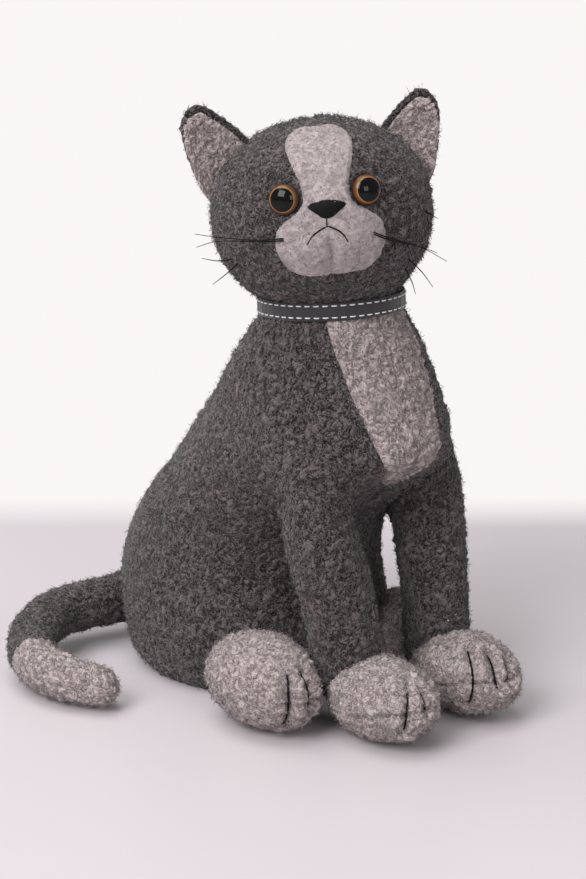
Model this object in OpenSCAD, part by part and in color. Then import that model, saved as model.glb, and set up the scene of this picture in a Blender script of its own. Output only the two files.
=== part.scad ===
// Sitting plush cat: sewn covers over stuffing, a weighted base, and a ribbon collar.
// Millimetres. +Z is up, the chest faces -Y, and the cat's left side is +X.
// The origin lies on the floor, at the centre of the flat base panel.

/* [Cloth] */
// Thickness of the wool cloth and its pile
cloth_t = 2; // [1.6:0.1:2.4]
// Room left between one piece and the next
gap = 0.4; // [0.3:0.05:0.6]

/* [Pose] */
// Turn of the head towards the cat's right shoulder, in degrees
head_turned = 35.5; // [25:0.5:38]
// Sideways tilt of the head, in degrees
head_tilt = 6; // [3:0.5:7]
// Forward rise of the collar, in degrees
collar_rise = 5; // [2:0.5:5]

/* [Base] */
// Radius of the flat base panel
base_r = 57; // [54:1:57]
// Thickness of the base panel
base_t = 2; // [1.5:0.1:2.2]
// Height of the pellet bag
pellet_h = 44; // [36:1:48]

/* [Collar] */
// Width of the ribbon
ribbon_w = 9; // [8:0.5:9.5]
// Thickness of the ribbon
ribbon_t = 0.8; // [0.6:0.1:1]
// Inside radius of the ribbon ring
ribbon_r = 36.6; // [36.4:0.1:37.2]
// Number of running stitches along each edge
stitch_count = 52; // [44:1:60]

/* [Face] */
// Diameter of each eye
eye_d = 15; // [13:0.5:16]
// Diameter of the eye washer
washer_d = 18; // [16:0.5:19]
// Distance from the middle of the face to each eye
eye_x = 20; // [18.5:0.5:21]
// Diameter of a whisker at its root
whisker_d = 0.8; // [0.7:0.05:1]

/* [Paws and tail] */
// Half width of a forepaw
forepaw_w = 23.5; // [22:0.5:24]
// Radius of the tail at its root
tail_r = 14; // [12.5:0.5:14]

/* [Hidden] */

dark = [0.32, 0.31, 0.32];
light = [0.66, 0.63, 0.63];
felt = [0.75, 0.72, 0.72];
fill = [0.9, 0.89, 0.86];
thread = [0.08, 0.08, 0.09];

// Body outline: height, middle of the ring along Y, half width, half depth
body_rings = [[0, 0, 60, 60], [10, 3, 66, 68], [35, 6, 69.5, 72], [60, 7, 67.5, 70],
              [88, -4, 64, 66], [112, -26, 61, 68], [134, -48, 59, 74],
              [156, -55, 55, 61], [180, -56, 46, 48], [199, -57, 36.5, 36.5]];
body_top = len(body_rings) - 1;
far_off = 500;
// Extra room round a core, because its facets don't line up with its cover's
core_gap = 1;
// Half width of the bib, in degrees round the body, at each place up the body
bib_edge = [[5.2, 2], [5.5, 8], [6, 17], [6.5, 22], [7, 25.5], [7.5, 30.5], [8, 35],
            [8.5, 40], [9, 44]];
bib_low = 5.5;

neck_c = [0, -57, 204];
neck_dir = 7;
neck_r = 26;
socket_r = 27.3;
// Height of the head's lower rim over the middle of the collar
head_rim_z = 6.2;
neck_ball_z = -8;
head_c = [-9.3, -59.7, 255];
// Head outline: height, sideways and backward shift, half width, half depth
head_rings = [[-37, 0.5, 5.5, 42.6, 40.6], [-30.5, 0.4, 4, 47.3, 44.2],
              [-24, 0.3, 2.5, 51, 47], [-12, 0, 0.5, 54.3, 49.6], [0, 0, 0, 55, 50],
              [12, 0, 0, 53, 48.2], [24, 0, 0, 45.8, 41.8], [33, 0, 0, 35.8, 32.8],
              [39.5, 0, 0, 24.5, 22.3], [43, 0, 0, 12, 11], [44, 0, 0, 0.6, 0.6]];
head_top = len(head_rings);
// Half width of the face patch, in degrees round the head, at each place up the head
face_edge = [[2.9, 8], [3.3, 21], [3.8, 27], [4.6, 28], [5.15, 23.5], [5.35, 20], [5.6, 14.5],
             [5.8, 12], [6.4, 11.5], [7, 15.5], [7.8, 22], [8.5, 28], [9.1, 30], [9.6, 24]];

// Ear outline: height above its base, outer edge, front edge
ear_outline = [[4, -17, 18.5], [7.5, -14.5, 19.4], [14, -9.5, 20.4], [20, -3.5, 21.2],
               [26, 3, 21], [29.2, 7.5, 19.3], [30.8, 10.5, 16.3]];
ear_base = [-43, 8, 22];
// The left ear sits lower and is a little shorter, by this share of its height
ear_left_base = [-45.7, 8, 18.8];
ear_left_share = 0.92;
ear_lean = 124;
ear_half_t = 2.6;
ear_cup = 4.5;

// Right foreleg: middle of the tube and its half width and half depth
leg_path = [[-38.5, -93, 113], [-37.5, -91, 105], [-35, -94, 88], [-32, -101, 62], [-30, -107, 34]];
leg_radii = [[9, 7], [17, 17], [19.5, 20], [18.8, 19], [17.5, 17.5]];
// Place down the leg below which it reaches for the paw, and its lowest edge behind the paw
leg_reach = 3;
leg_low = 24;
forepaw_c = [-29, -130, 21.5];
forepaw_r = [forepaw_w, 34, 21.5];
hindpaw_right_c = [-63, -80, 25];
hindpaw_left_c = [50, -62, 20.5];
hindpaw_right_r = [25, 36, 25];
hindpaw_left_r = [22.5, 28, 20.5];

// Tail: its middle line and its radius as a share of the root's
tail_path = [[-22, 66, 28], [-46, 69, 23], [-78, 76, 20.5], [-104, 63, 18], [-122, 38, 15.5],
             [-124, 11, 14], [-115, -10, 12.5]];
tail_share = [1, 0.97, 0.93, 0.91, 0.88, 0.85, 0.74];
tail_pivot = [-22, 64, 28];
tail_bend_at = 2;
tail_tip_at = 4;

// A smooth curve through four neighbours, from the second to the third
function curve4(a, b, c, d, t) =
  0.5 * (2 * b + (c - a) * t + (2 * a - 5 * b + 4 * c - d) * t * t
         + (3 * b - a - 3 * c + d) * t * t * t);
// The value at place s along a smooth curve through every entry of a list
function along(v, s) =
  let (n = len(v) - 1, c = min(max(s, 0), n - 0.00001), i = floor(c))
  curve4(i > 0 ? v[i - 1] : 2 * v[0] - v[1], v[i], v[i + 1],
         i < n - 1 ? v[i + 2] : 2 * v[n] - v[n - 1], c - i);
function turn_x(p, a) =
  [p[0], p[1] * cos(a) - p[2] * sin(a), p[1] * sin(a) + p[2] * cos(a)];
function turn_y(p, a) =
  [p[0] * cos(a) + p[2] * sin(a), p[1], p[2] * cos(a) - p[0] * sin(a)];
function turn_z(p, a) =
  [p[0] * cos(a) - p[1] * sin(a), p[0] * sin(a) + p[1] * cos(a), p[2]];
function unit(v) = v / norm(v);
function smooth(t) = let (c = min(max(t, 0), 1)) c * c * (3 - 2 * c);
function ring_sum(ring, k, i = 0) = i == len(ring) ? 0 : ring[i][k] + ring_sum(ring, k, i + 1);
function centre_of(ring) = [for (k = [0:2]) ring_sum(ring, k) / len(ring)];

// From the collar's own frame, and from the head's own frame, to the cat's
function from_neck(p) = neck_c + turn_z(turn_x(turn_z(p, neck_dir), -collar_rise), -neck_dir);
function from_head(p) = head_c + turn_z(turn_y(p, -head_tilt), -head_turned);

// Closed solid through a list of rings, with each end ring filled to its centre
module loft(rings) {
  n = len(rings[0]);
  m = len(rings);
  last = 1 + n * m;
  points = concat([centre_of(rings[0])], [for (r = rings, p = r) p], [centre_of(rings[m - 1])]);
  faces = concat(
    [for (j = [0:n - 1]) [0, 1 + j, 1 + (j + 1) % n]],
    [for (i = [0:m - 2], j = [0:n - 1])
      let (a = 1 + i * n + j, b = 1 + i * n + (j + 1) % n) [a, a + n, b + n, b]],
    [for (j = [0:n - 1]) [last, last - n + (j + 1) % n, last - n + j]]);
  polyhedron(points = points, faces = faces, convexity = 6);
}

// Closed sheet between an outer and an inner grid of points
module sheet(outer, inner) {
  m = len(outer);
  n = len(outer[0]);
  k = m * n;
  points = concat([for (r = outer, p = r) p], [for (r = inner, p = r) p]);
  faces = concat(
    [for (i = [0:m - 2], j = [0:n - 2])
      let (a = i * n + j) [a, a + n, a + n + 1, a + 1]],
    [for (i = [0:m - 2], j = [0:n - 2])
      let (a = k + i * n + j) [a, a + 1, a + n + 1, a + n]],
    [for (j = [0:n - 2]) [j, j + 1, k + j + 1, k + j]],
    [for (j = [0:n - 2]) let (a = (m - 1) * n + j) [a, k + a, k + a + 1, a + 1]],
    [for (i = [0:m - 2]) let (a = i * n) [a, k + a, k + a + n, a + n]],
    [for (i = [0:m - 2]) let (a = i * n + n - 1) [a, a + n, k + a + n, k + a]]);
  polyhedron(points = points, faces = faces, convexity = 6);
}

// Point on the body at place s up it and angle a round it, sunk by a depth
function body_pt(s, a, depth = 0) =
  let (g = along(body_rings, s),
       x = (g[2] - depth) * sin(a),
       y = g[1] - (g[3] - depth) * cos(a),
       k = smooth((g[0] - 160) / 39),
       lift = (x * -sin(neck_dir) + (y - neck_c[1]) * -cos(neck_dir)) * tan(collar_rise))
  [x, y, g[0] + k * lift];
// Place up the body whose ring is at height z
place_table = [for (i = [0:36]) let (s = i * body_top / 36) [along(body_rings, s)[0], s]];
// Where the body's front, or its back, stands at a place beside the middle; far off outside it
function body_wall(x, z, way) =
  let (g = along(body_rings, lookup(z, place_table)), q = abs(x) / g[2])
  q < 1 ? g[1] + way * g[3] * sqrt(1 - q * q) : -way * far_off;

// Cloth panel on the body between two angles, one pair for each row
module body_panel(rows, from, to, columns) {
  grid = [for (d = [0, cloth_t]) [for (i = [0:len(rows) - 1])
    [for (j = [0:columns]) body_pt(rows[i], from[i] + (to[i] - from[i]) * j / columns, d)]]];
  sheet(grid[0], grid[1]);
}
side_rows = [for (i = [0:2 * body_top]) i / 2];
side_edge = [for (s = side_rows) s < bib_low ? 0.4 : lookup(s, bib_edge) + 0.3];
side_back = [for (s = side_rows) 179.7];
module body_cover_left() color(dark) body_panel(side_rows, side_edge, side_back, 15);
module body_cover_right() color(dark) body_panel(side_rows, -side_back, -side_edge, 15);

bib_rows = [for (s = side_rows) if (s >= bib_low) s];
bib_out = [for (s = bib_rows) lookup(s, bib_edge) - 0.1];
bib_mid = [for (s = bib_rows) 0.3];
module chest_bib_left() color(light) body_panel(bib_rows, bib_mid, bib_out, 5);
module chest_bib_right() color(light) body_panel(bib_rows, -bib_out, -bib_mid, 5);

module base_panel() color(dark)
  linear_extrude(height = base_t)
    polygon([for (i = [0:47]) [base_r * cos(i * 7.5), base_r * sin(i * 7.5)]]);

// Ring of the body at place s, between a lowest and a highest height
function body_ring(s, depth, low, high) =
  [for (j = [0:35]) let (p = body_pt(s, j * 10, depth)) [p[0], p[1], min(max(p[2], low), high)]];
module pellet_bag() color([0.8, 0.78, 0.7])
  loft([for (i = [0:8]) body_ring(2.35 * i / 8, cloth_t + gap + 1, base_t + gap, pellet_h)]);
module body_stuffing() color(fill)
  loft([for (i = [0:15]) body_ring(2.35 + (body_top - 2.35) * i / 15, cloth_t + gap + core_gap,
                                   pellet_h + gap, 300)]);

// Circle in the collar's frame
function neck_ring(r, z, n = 24) =
  [for (j = [0:n - 1]) from_neck([r * sin(j * 360 / n), -r * cos(j * 360 / n), z])];
module neck_stuffing() color(fill)
  loft([for (i = [0:7]) let (a = 7.5 + i * 11.7)
    neck_ring(max(neck_r * cos(a), 0.4), neck_ball_z + neck_r * sin(a))]);

module in_collar() {
  translate(neck_c) rotate([0, 0, -neck_dir]) rotate([-collar_rise, 0, 0]) rotate([0, 0, neck_dir])
    children();
}
module collar_ribbon() color([0.28, 0.27, 0.29]) in_collar()
  rotate_extrude($fn = 96) translate([ribbon_r, -ribbon_w / 2]) square([ribbon_t, ribbon_w]);
module collar_stitches() color([0.9, 0.89, 0.88]) in_collar()
  for (edge = [-1, 1], i = [0:stitch_count - 1])
    rotate([0, 0, i * 360 / stitch_count])
      translate([ribbon_r + ribbon_t + 0.02, -1.15, edge * (ribbon_w / 2 - 1.6) - 0.4])
        cube([0.3, 2.3, 0.8]);

// Point on the head at place s up it and angle a round it, sunk by a depth
function head_pt(s, a, depth = 0) =
  let (rim = ribbon_r - 3.9 - depth,
       neck = from_neck(turn_z([rim * sin(a), -rim * cos(a), head_rim_z], -head_turned)),
       stops = concat([neck], [for (g = head_rings)
         from_head([g[1] + max(g[3] - depth, 0.4) * sin(a), g[2] - max(g[4] - depth, 0.4) * cos(a),
                    g[0] - max(g[0], 0) * depth / 44])]))
  along(stops, s);
module head_side(from, to) {
  grid = [for (d = [0, cloth_t])
    [for (i = [0:17]) [for (j = [0:15]) head_pt(head_top * i / 17, from + (to - from) * j / 15, d)]]];
  sheet(grid[0], grid[1]);
}
module head_cover_left() color(dark) head_side(0.3, 179.7);
module head_cover_right() color(dark) head_side(-179.7, -0.3);
module head_stuffing() {
  socket = [for (i = [0:6]) let (a = 90 - i * 9.3)
    neck_ring(max(socket_r * cos(a), 0.4), neck_ball_z + socket_r * sin(a))];
  shell = [for (i = [0:15]) let (s = 0.25 + (head_top - 0.25) * i / 15)
    [for (j = [0:23]) head_pt(s, j * 15 + head_turned, cloth_t + gap + core_gap + 7 * eye_room(s, j))]];
  color(fill) loft(concat(socket, shell));
}
// Share of the extra depth that the stuffing leaves round each eye washer
function eye_room(s, j) =
  let (a = j * 15 + head_turned - 360, side = abs(abs(a + 360 > 180 ? a : a + 360) - 22))
  smooth(1.6 - side / 22) * smooth(2 - abs(s - 6.1) / 1.3);

module face_patch() {
  rows = [for (i = [0:16]) 2.9 + (9.6 - 2.9) * i / 16];
  grid = [for (d = [-1.3, -0.15])
    [for (s = rows) let (w = lookup(s, face_edge)) [for (j = [0:12]) head_pt(s, w * (j / 6 - 1), d)]]];
  color(felt) sheet(grid[0], grid[1]);
}

module on_face() {
  translate(head_c) rotate([0, -head_tilt, -head_turned]) children();
}
// The nose: a rounded triangle of satin stitches, standing on the face patch
module nose() color(thread) on_face()
  translate([0, -49.6, 7.6]) rotate([82, 0, 0]) linear_extrude(height = 2.2)
    polygon([[-9, 4], [-5, 5.2], [5, 5.2], [9, 4], [8, 1], [2.4, -3.6], [0, -4.6], [-2.4, -3.6], [-8, 1]]);
module stitch_bar(a, b, d) {
  v = b - a;
  translate(a) rotate([0, acos(v[2] / norm(v)), atan2(v[1], v[0])])
    cylinder(d = d, h = norm(v), $fn = 16);
}
module mouth_stitches() color(thread) on_face() {
  stitch_bar([0, -52, 2.4], [0, -52.2, -0.6], 1);
  for (side = [-1, 1])
    stitch_bar([side * 1.4, -52.2, -1], [side * 9.5, -51.2, -7], 1);
}
module eye_place(side) {
  on_face() translate([side * eye_x, -44, 14]) rotate([0, 0, side * 21]) rotate([82, 0, 0]) children();
}
// A glossy dome with a flange and a shank that passes through the cover
module eye(side) eye_place(side)
  rotate_extrude($fn = 48) polygon(concat(
    [[0, -9.5], [1.8, -9.5], [1.8, 0.5], [eye_d / 2, 0.5], [eye_d / 2, 1.3]],
    [for (a = [20:10:80]) [eye_d / 2 * cos(a), 1.3 + 4.6 * sin(a)]], [[0, 5.9]]));
module eye_right() color([0.45, 0.26, 0.12]) eye(-1);
module eye_left() color([0.45, 0.26, 0.12]) eye(1);
module eye_washer(side) eye_place(side) translate([0, 0, -7.8])
  difference() {
    cylinder(d = washer_d, h = 1.2, $fn = 48);
    translate([0, 0, -1]) cylinder(r = 1.85, h = 4, $fn = 48);
  }
module eye_washer_right() color([0.85, 0.85, 0.85]) eye_washer(-1);
module eye_washer_left() color([0.85, 0.85, 0.85]) eye_washer(1);

// Whisker: a short bent tube from the cheek outwards
whisker_ends = [[[-24, -46, -4], [-62, -48, 1]], [[-46, -26, -18], [-61, -38, -25]],
                [[-52, -13, -15], [-66, -22, -17]]];
function tube_ring(c, u, v, r, n) = [for (j = [0:n - 1]) c + r * (u * cos(j * 360 / n) + v * sin(j * 360 / n))];
module whisker(a, b) {
  d = unit(b - a);
  u = unit(cross(d, [0, 0, 1]));
  v = cross(u, d);
  loft([for (i = [0:4]) let (t = i / 4)
    tube_ring(a + (b - a) * t + [0, 0, -8 * t * (1 - t)], u, -v, whisker_d / 2 * (1 - 0.5 * t), 8)]);
}
module whisker_set(side) on_face()
  for (w = whisker_ends) whisker([side * -w[0][0], w[0][1], w[0][2]], [side * -w[1][0], w[1][1], w[1][2]]);
module whiskers_right() color(thread) whisker_set(-1);
module whiskers_left() color(thread) whisker_set(1);

// Point on an ear: place s up the outline, share q across it, and a place in its thickness
function ear_pt(s, q, y) =
  let (g = along(ear_outline, s), mid = (g[1] + g[2]) / 2, half = (g[2] - g[1]) / 2,
       bow = ear_cup * (1 - q * q) * half / 18)
  [mid + q * half, y + bow, g[0]];
module ear_layer(front, back) {
  m = len(ear_outline) - 1;
  grid = [for (y = [front, back])
    [for (i = [0:9]) [for (j = [0:8]) ear_pt(m * i / 9, j / 4 - 1, y)]]];
  sheet(grid[0], grid[1]);
}
module ear_place(side) {
  left = side > 0;
  on_face() mirror([left ? 1 : 0, 0, 0]) translate(left ? ear_left_base : ear_base)
    rotate([0, ear_lean - 180, 0]) scale([1, 1, left ? ear_left_share : 1]) children();
}
module ear_back_right() color(dark) ear_place(-1) ear_layer(0.1, ear_half_t);
module ear_lining_right() color(light) ear_place(-1) ear_layer(-ear_half_t, -0.1);
module ear_back_left() color(dark) ear_place(1) ear_layer(0.1, ear_half_t);
module ear_lining_left() color(light) ear_place(1) ear_layer(-ear_half_t, -0.1);

// Height of a paw's upper side over a place on the floor
function paw_over(p, c, r) =
  let (q = pow((p[0] - c[0]) / r[0], 2) + pow((p[1] - c[1]) / r[1], 2))
  q < 1 ? c[2] + r[2] * sqrt(1 - q) : 0;
// Foreleg ring: kept in front of the body and above the paw
function leg_pt(s, a, depth) =
  let (c = along(leg_path, s), r = along(leg_radii, s),
       x = c[0] + max(r[0] - depth, 0.3) * sin(a), y = c[1] - max(r[1] - depth, 0.3) * cos(a),
       front = min(y, body_wall(x, c[2], -1) - 2 * gap - depth),
       low = max(paw_over([x, front], forepaw_c, forepaw_r) + 4.5 * gap, leg_low),
       knee = leg_path[leg_reach][2])
  [x, front, s <= leg_reach ? c[2] : knee + (low - knee) * (s - leg_reach)];
leg_end = len(leg_path) - 1;
function leg_ring(s, depth) = [for (j = [0:19]) leg_pt(s, j * 18, depth)];
// Ring drawn in towards its own middle, and set on the paw
function shrink(ring, k) = let (c = centre_of(ring)) [for (p = ring)
  let (q = c + (p - c) * k)
    [q[0], q[1], max(q[2], paw_over(q, forepaw_c, forepaw_r) + 2 * gap)]];
module foreleg_cover() {
  outer = [for (i = [13:-1:0]) leg_ring(leg_end * i / 13, 0)];
  inner = [for (i = [13:-1:1]) leg_ring(leg_end * i / 13, cloth_t)];
  loft(concat([for (i = [1:13]) inner[13 - i]], outer));
}
module foreleg_stuffing() {
  rings = [for (i = [12.6:-1:1.6]) leg_ring(leg_end * i / 13, cloth_t + gap + core_gap)];
  loft(concat([for (k = [0.05, 0.4, 0.7]) shrink(rings[0], k)], rings));
}
// A hind paw's skin gives way to the foreleg and forepaw beside it, and to the body behind it
function give_way(p, side, depth) =
  let (room = 4 * gap + depth,
       leg = along(leg_path, lookup(p[2], leg_places)),
       lr = leg_r_max + room,
       dl = p[1] - leg[1],
       by_leg = abs(dl) < lr ? abs(leg[0]) + sqrt(lr * lr - dl * dl) : 0,
       q = pow((p[1] - forepaw_c[1]) / (forepaw_r[1] + room), 2)
         + pow((p[2] - forepaw_c[2]) / (forepaw_r[2] + room), 2),
       by_paw = q < 1 ? abs(forepaw_c[0]) + (forepaw_r[0] + room) * sqrt(1 - q) : 0,
       x = side * max(side * p[0], by_leg, by_paw))
  [x, min(p[1], body_wall(x, p[2], -1) - room), p[2]];
leg_r_max = 19;
leg_places = [for (i = [0:16]) let (s = leg_end * (1 - i / 16)) [along(leg_path, s)[2], s]];
// Rings of a paw, as swings from its widest place towards the toes and the heel
paw_swings = [86, 74, 62, 48, 34, 18, 2, -14, -30, -46, -60];
// Ring of a paw, square to its length, at a swing from its middle towards the toes
function ball_ring(c, r, a, n, depth, side = 0) =
  [for (j = [0:n - 1])
    let (k = j * 360 / n,
         p = [c[0] + (r[0] - depth) * cos(a) * sin(k), c[1] - (r[1] - depth) * sin(a),
              c[2] + (r[2] - depth) * cos(a) * cos(k)])
    side == 0 ? p : give_way(p, side, depth)];
// A paw cover: an outer and an inner skin that meet round an opening at the back
module paw_cover(c, r, side = 0)
  loft(concat([for (a = paw_swings) ball_ring(c, r, a, 20, 0, side)],
              [for (i = [10:-1:0]) ball_ring(c, r, paw_swings[i], 20, cloth_t, side)]));
module paw_stuffing(c, r, side = 0)
  loft([for (a = paw_swings) ball_ring(c, r, a, 20, cloth_t + gap + core_gap, side)]);
// Toe stitches: short bars over the front of the paw and one along its nose
module toe_stitches(c, r, places) {
  for (x = places, a = [12, 36, 60])
    let (p = toe_pt(c, r, x, a), q = toe_pt(c, r, x, a + 22)) stitch_bar(p, q, 0.9);
}
function toe_pt(c, r, x, a) =
  let (k = sqrt(1 - x * x))
  [c[0] + (r[0] + 1.1) * x, c[1] - (r[1] + 1.1) * k * cos(a - 36), c[2] + (r[2] + 1.1) * k * sin(a - 36)];

module foreleg_cover_right() color(dark) foreleg_cover();
module foreleg_cover_left() color(dark) mirror([1, 0, 0]) foreleg_cover();
module foreleg_stuffing_right() color(fill) foreleg_stuffing();
module foreleg_stuffing_left() color(fill) mirror([1, 0, 0]) foreleg_stuffing();
module forepaw_cover_right() color(light) paw_cover(forepaw_c, forepaw_r);
module forepaw_cover_left() color(light) mirror([1, 0, 0]) paw_cover(forepaw_c, forepaw_r);
module forepaw_stuffing_right() color(fill) paw_stuffing(forepaw_c, forepaw_r);
module forepaw_stuffing_left() color(fill) mirror([1, 0, 0]) paw_stuffing(forepaw_c, forepaw_r);
module forepaw_stitches_right() color(thread) toe_stitches(forepaw_c, forepaw_r, [-0.35, 0.3]);
module forepaw_stitches_left() color(thread) mirror([1, 0, 0])
  toe_stitches(forepaw_c, forepaw_r, [-0.35, 0.3]);
module hindpaw_cover_right() color(light) paw_cover(hindpaw_right_c, hindpaw_right_r, -1);
module hindpaw_cover_left() color(light) paw_cover(hindpaw_left_c, hindpaw_left_r, 1);
module hindpaw_stuffing_right() color(fill) paw_stuffing(hindpaw_right_c, hindpaw_right_r, -1);
module hindpaw_stuffing_left() color(fill) paw_stuffing(hindpaw_left_c, hindpaw_left_r, 1);
module hindpaw_stitches_right() color(thread)
  toe_stitches(hindpaw_right_c, hindpaw_right_r, [-0.45, 0.05]);
module hindpaw_stitches_left() color(thread)
  toe_stitches(hindpaw_left_c, hindpaw_left_r, [0.45, -0.05]);

// Tail ring square to the middle line, kept clear of the body
function tail_ring(s, depth) =
  let (c = along(tail_path, s), d = unit(along(tail_path, s + 0.05) - along(tail_path, s - 0.05)),
       u = unit(cross(d, [0, 0, 1])), v = cross(u, d), r = tail_r * along(tail_share, s) - depth)
  [for (j = [0:15]) let (p = c + r * (u * cos(j * 22.5) - v * sin(j * 22.5)))
    [p[0], max(p[1], body_wall(p[0], p[2], 1) + 2 * gap + depth), p[2]]];
module tail_tube(from, to, steps) {
  outer = [for (i = [0:steps]) tail_ring(from + (to - from) * i / steps, 0)];
  inner = [for (i = [0:steps]) tail_ring(from + (to - from) * i / steps, cloth_t)];
  n = 16;
  m = steps + 1;
  k = m * n;
  points = concat([for (r = outer, p = r) p], [for (r = inner, p = r) p]);
  faces = concat(
    [for (i = [0:m - 2], j = [0:n - 1]) let (a = i * n + j, b = i * n + (j + 1) % n) [a, a + n, b + n, b]],
    [for (i = [0:m - 2], j = [0:n - 1])
      let (a = k + i * n + j, b = k + i * n + (j + 1) % n) [a, b, b + n, a + n]],
    [for (j = [0:n - 1]) let (b = (j + 1) % n) [j, b, k + b, k + j]],
    [for (j = [0:n - 1]) let (a = (m - 1) * n + j, b = (m - 1) * n + (j + 1) % n) [a, k + a, k + b, b]]);
  polyhedron(points = points, faces = faces, convexity = 6);
}
module tail_core(from, to, steps)
  loft([for (i = [0:steps]) tail_ring(from + (to - from) * i / steps, cloth_t + gap + core_gap)]);
module tail_root_cover() color(dark) tail_tube(0, tail_bend_at - 0.07, 8);
module tail_root_stuffing() color(fill) tail_core(0.4, tail_bend_at - 0.09, 7);
module tail_bend_cover() color(dark) tail_tube(tail_bend_at + 0.07, tail_tip_at - 0.01, 8);
module tail_bend_stuffing() color(fill) tail_core(tail_bend_at + 0.09, tail_tip_at - 0.02, 8);
tail_end = len(tail_path) - 1;
// Rounded end of the tail beyond its last ring
function tail_cap(depth, k) =
  let (ring = tail_ring(tail_end, depth), c = centre_of(ring),
       d = unit(tail_path[tail_end] - tail_path[tail_end - 1]))
  [for (p = ring) c + (p - c) * cos(k) + d * (tail_r * 0.8 - depth) * sin(k)];
module tail_tip_cover() {
  outer = concat([for (i = [0:7]) tail_ring(tail_tip_at + (tail_end - tail_tip_at) * i / 7, 0)],
                 [for (k = [30, 60, 84]) tail_cap(0, k)]);
  inner = concat([for (i = [0:7]) tail_ring(tail_tip_at + (tail_end - tail_tip_at) * i / 7, cloth_t)],
                 [for (k = [30, 60, 84]) tail_cap(cloth_t, k)]);
  color(light) loft(concat([for (i = [10:-1:0]) inner[i]], outer));
}
module tail_tip_stuffing() color(fill)
  loft(concat([for (i = [0:7]) tail_ring(tail_tip_at + (tail_end - tail_tip_at) * i / 7, cloth_t + gap)],
              [for (k = [30, 60, 84]) tail_cap(cloth_t + gap, k)]));

body_cover_right();
body_cover_left();
chest_bib_right();
chest_bib_left();
base_panel();
body_stuffing();
pellet_bag();
neck_stuffing();
collar_ribbon();
collar_stitches();
head_cover_right();
head_cover_left();
face_patch();
head_stuffing();
nose();
mouth_stitches();
eye_right();
eye_left();
eye_washer_right();
eye_washer_left();
whiskers_right();
whiskers_left();
ear_back_right();
ear_lining_right();
ear_back_left();
ear_lining_left();
foreleg_cover_right();
foreleg_stuffing_right();
forepaw_cover_right();
forepaw_stuffing_right();
forepaw_stitches_right();
foreleg_cover_left();
foreleg_stuffing_left();
forepaw_cover_left();
forepaw_stuffing_left();
forepaw_stitches_left();
hindpaw_cover_right();
hindpaw_stuffing_right();
hindpaw_stitches_right();
hindpaw_cover_left();
hindpaw_stuffing_left();
hindpaw_stitches_left();
tail_root_cover();
tail_root_stuffing();
tail_bend_cover();
tail_bend_stuffing();
tail_tip_cover();
tail_tip_stuffing();
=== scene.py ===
"""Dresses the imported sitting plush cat.

Covers, felt, beads, ribbon and stitches are worked out here as surfaces in the cat's own frame, in
millimetres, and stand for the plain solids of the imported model. +Z is up, the chest faces -Y and the
cat's left side is +X.
"""
import logging
import math
from collections.abc import Callable
from dataclasses import dataclass, field
from enum import Enum

import bpy
import numpy as np
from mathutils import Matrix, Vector


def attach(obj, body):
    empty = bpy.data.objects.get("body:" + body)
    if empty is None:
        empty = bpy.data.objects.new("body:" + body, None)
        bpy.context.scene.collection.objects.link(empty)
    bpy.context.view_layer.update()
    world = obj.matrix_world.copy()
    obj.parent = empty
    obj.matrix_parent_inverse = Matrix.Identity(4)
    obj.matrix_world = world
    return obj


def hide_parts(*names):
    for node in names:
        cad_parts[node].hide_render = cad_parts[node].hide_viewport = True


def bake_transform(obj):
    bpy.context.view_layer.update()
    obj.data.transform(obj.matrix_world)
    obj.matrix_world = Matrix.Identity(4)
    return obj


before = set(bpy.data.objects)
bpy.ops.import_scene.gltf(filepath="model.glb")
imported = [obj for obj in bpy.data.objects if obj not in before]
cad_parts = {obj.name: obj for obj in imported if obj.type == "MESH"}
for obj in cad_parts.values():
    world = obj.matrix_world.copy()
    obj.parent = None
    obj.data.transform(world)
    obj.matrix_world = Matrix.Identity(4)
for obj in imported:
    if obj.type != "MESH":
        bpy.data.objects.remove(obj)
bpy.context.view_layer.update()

Array = np.ndarray
Field = Callable[[Array], Array]
Point = tuple[float, float, float]
MM = 0.001
CURVE_SAMPLES = 1500
log = logging.getLogger("plush_cat")


class Side(Enum):
    """A side of the cat, as the sign of X."""

    RIGHT = -1
    LEFT = 1

    @property
    def word(self) -> str:
        """The side's name as pieces and bodies write it."""
        return self.name.lower()


class Tone(Enum):
    """The shade of a wool or felt."""

    DARK = "dark"
    LIGHT = "light"
    FELT = "felt"


# ---------------------------------------------------------------- curves, turns and noise


def spline(a: Array, b: Array, c: Array, d: Array, t: Array) -> Array:
    """Catmull-Rom blend of four stations, at a share t of the way from the second to the third."""
    return 0.5 * (2 * b + (c - a) * t + (2 * a - 5 * b + 4 * c - d) * t**2 + (3 * b - a - 3 * c + d) * t**3)


def along(stations: Array, place: Array) -> Array:
    """Value at a place along the Catmull-Rom curve through every station.

    Args:
        stations: One row of values for each whole place.
        place: Places from 0 to the last station, in any shape.

    Returns:
        The values, in the shape of place with the stations' columns added.
    """
    rows = np.asarray(stations, float)
    last = len(rows) - 1
    held = np.clip(np.asarray(place, float), 0, last - 1e-6)
    low = held.astype(int)
    t = (held - low)[..., None]
    ends = np.vstack([2 * rows[0] - rows[1], rows, 2 * rows[-1] - rows[-2]])
    return spline(*(ends[low + k] for k in range(4)), t)


def even_places(stations: Array, low: float, high: float, count: int) -> Array:
    """Places between two others that lie the same length apart along a curve."""
    dense = np.linspace(low, high, CURVE_SAMPLES)
    steps = np.linalg.norm(np.diff(along(stations, dense), axis=0), axis=1)
    length = np.concatenate([[0.0], np.cumsum(steps)])
    return np.interp(np.linspace(0, length[-1], count), length, dense)


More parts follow.
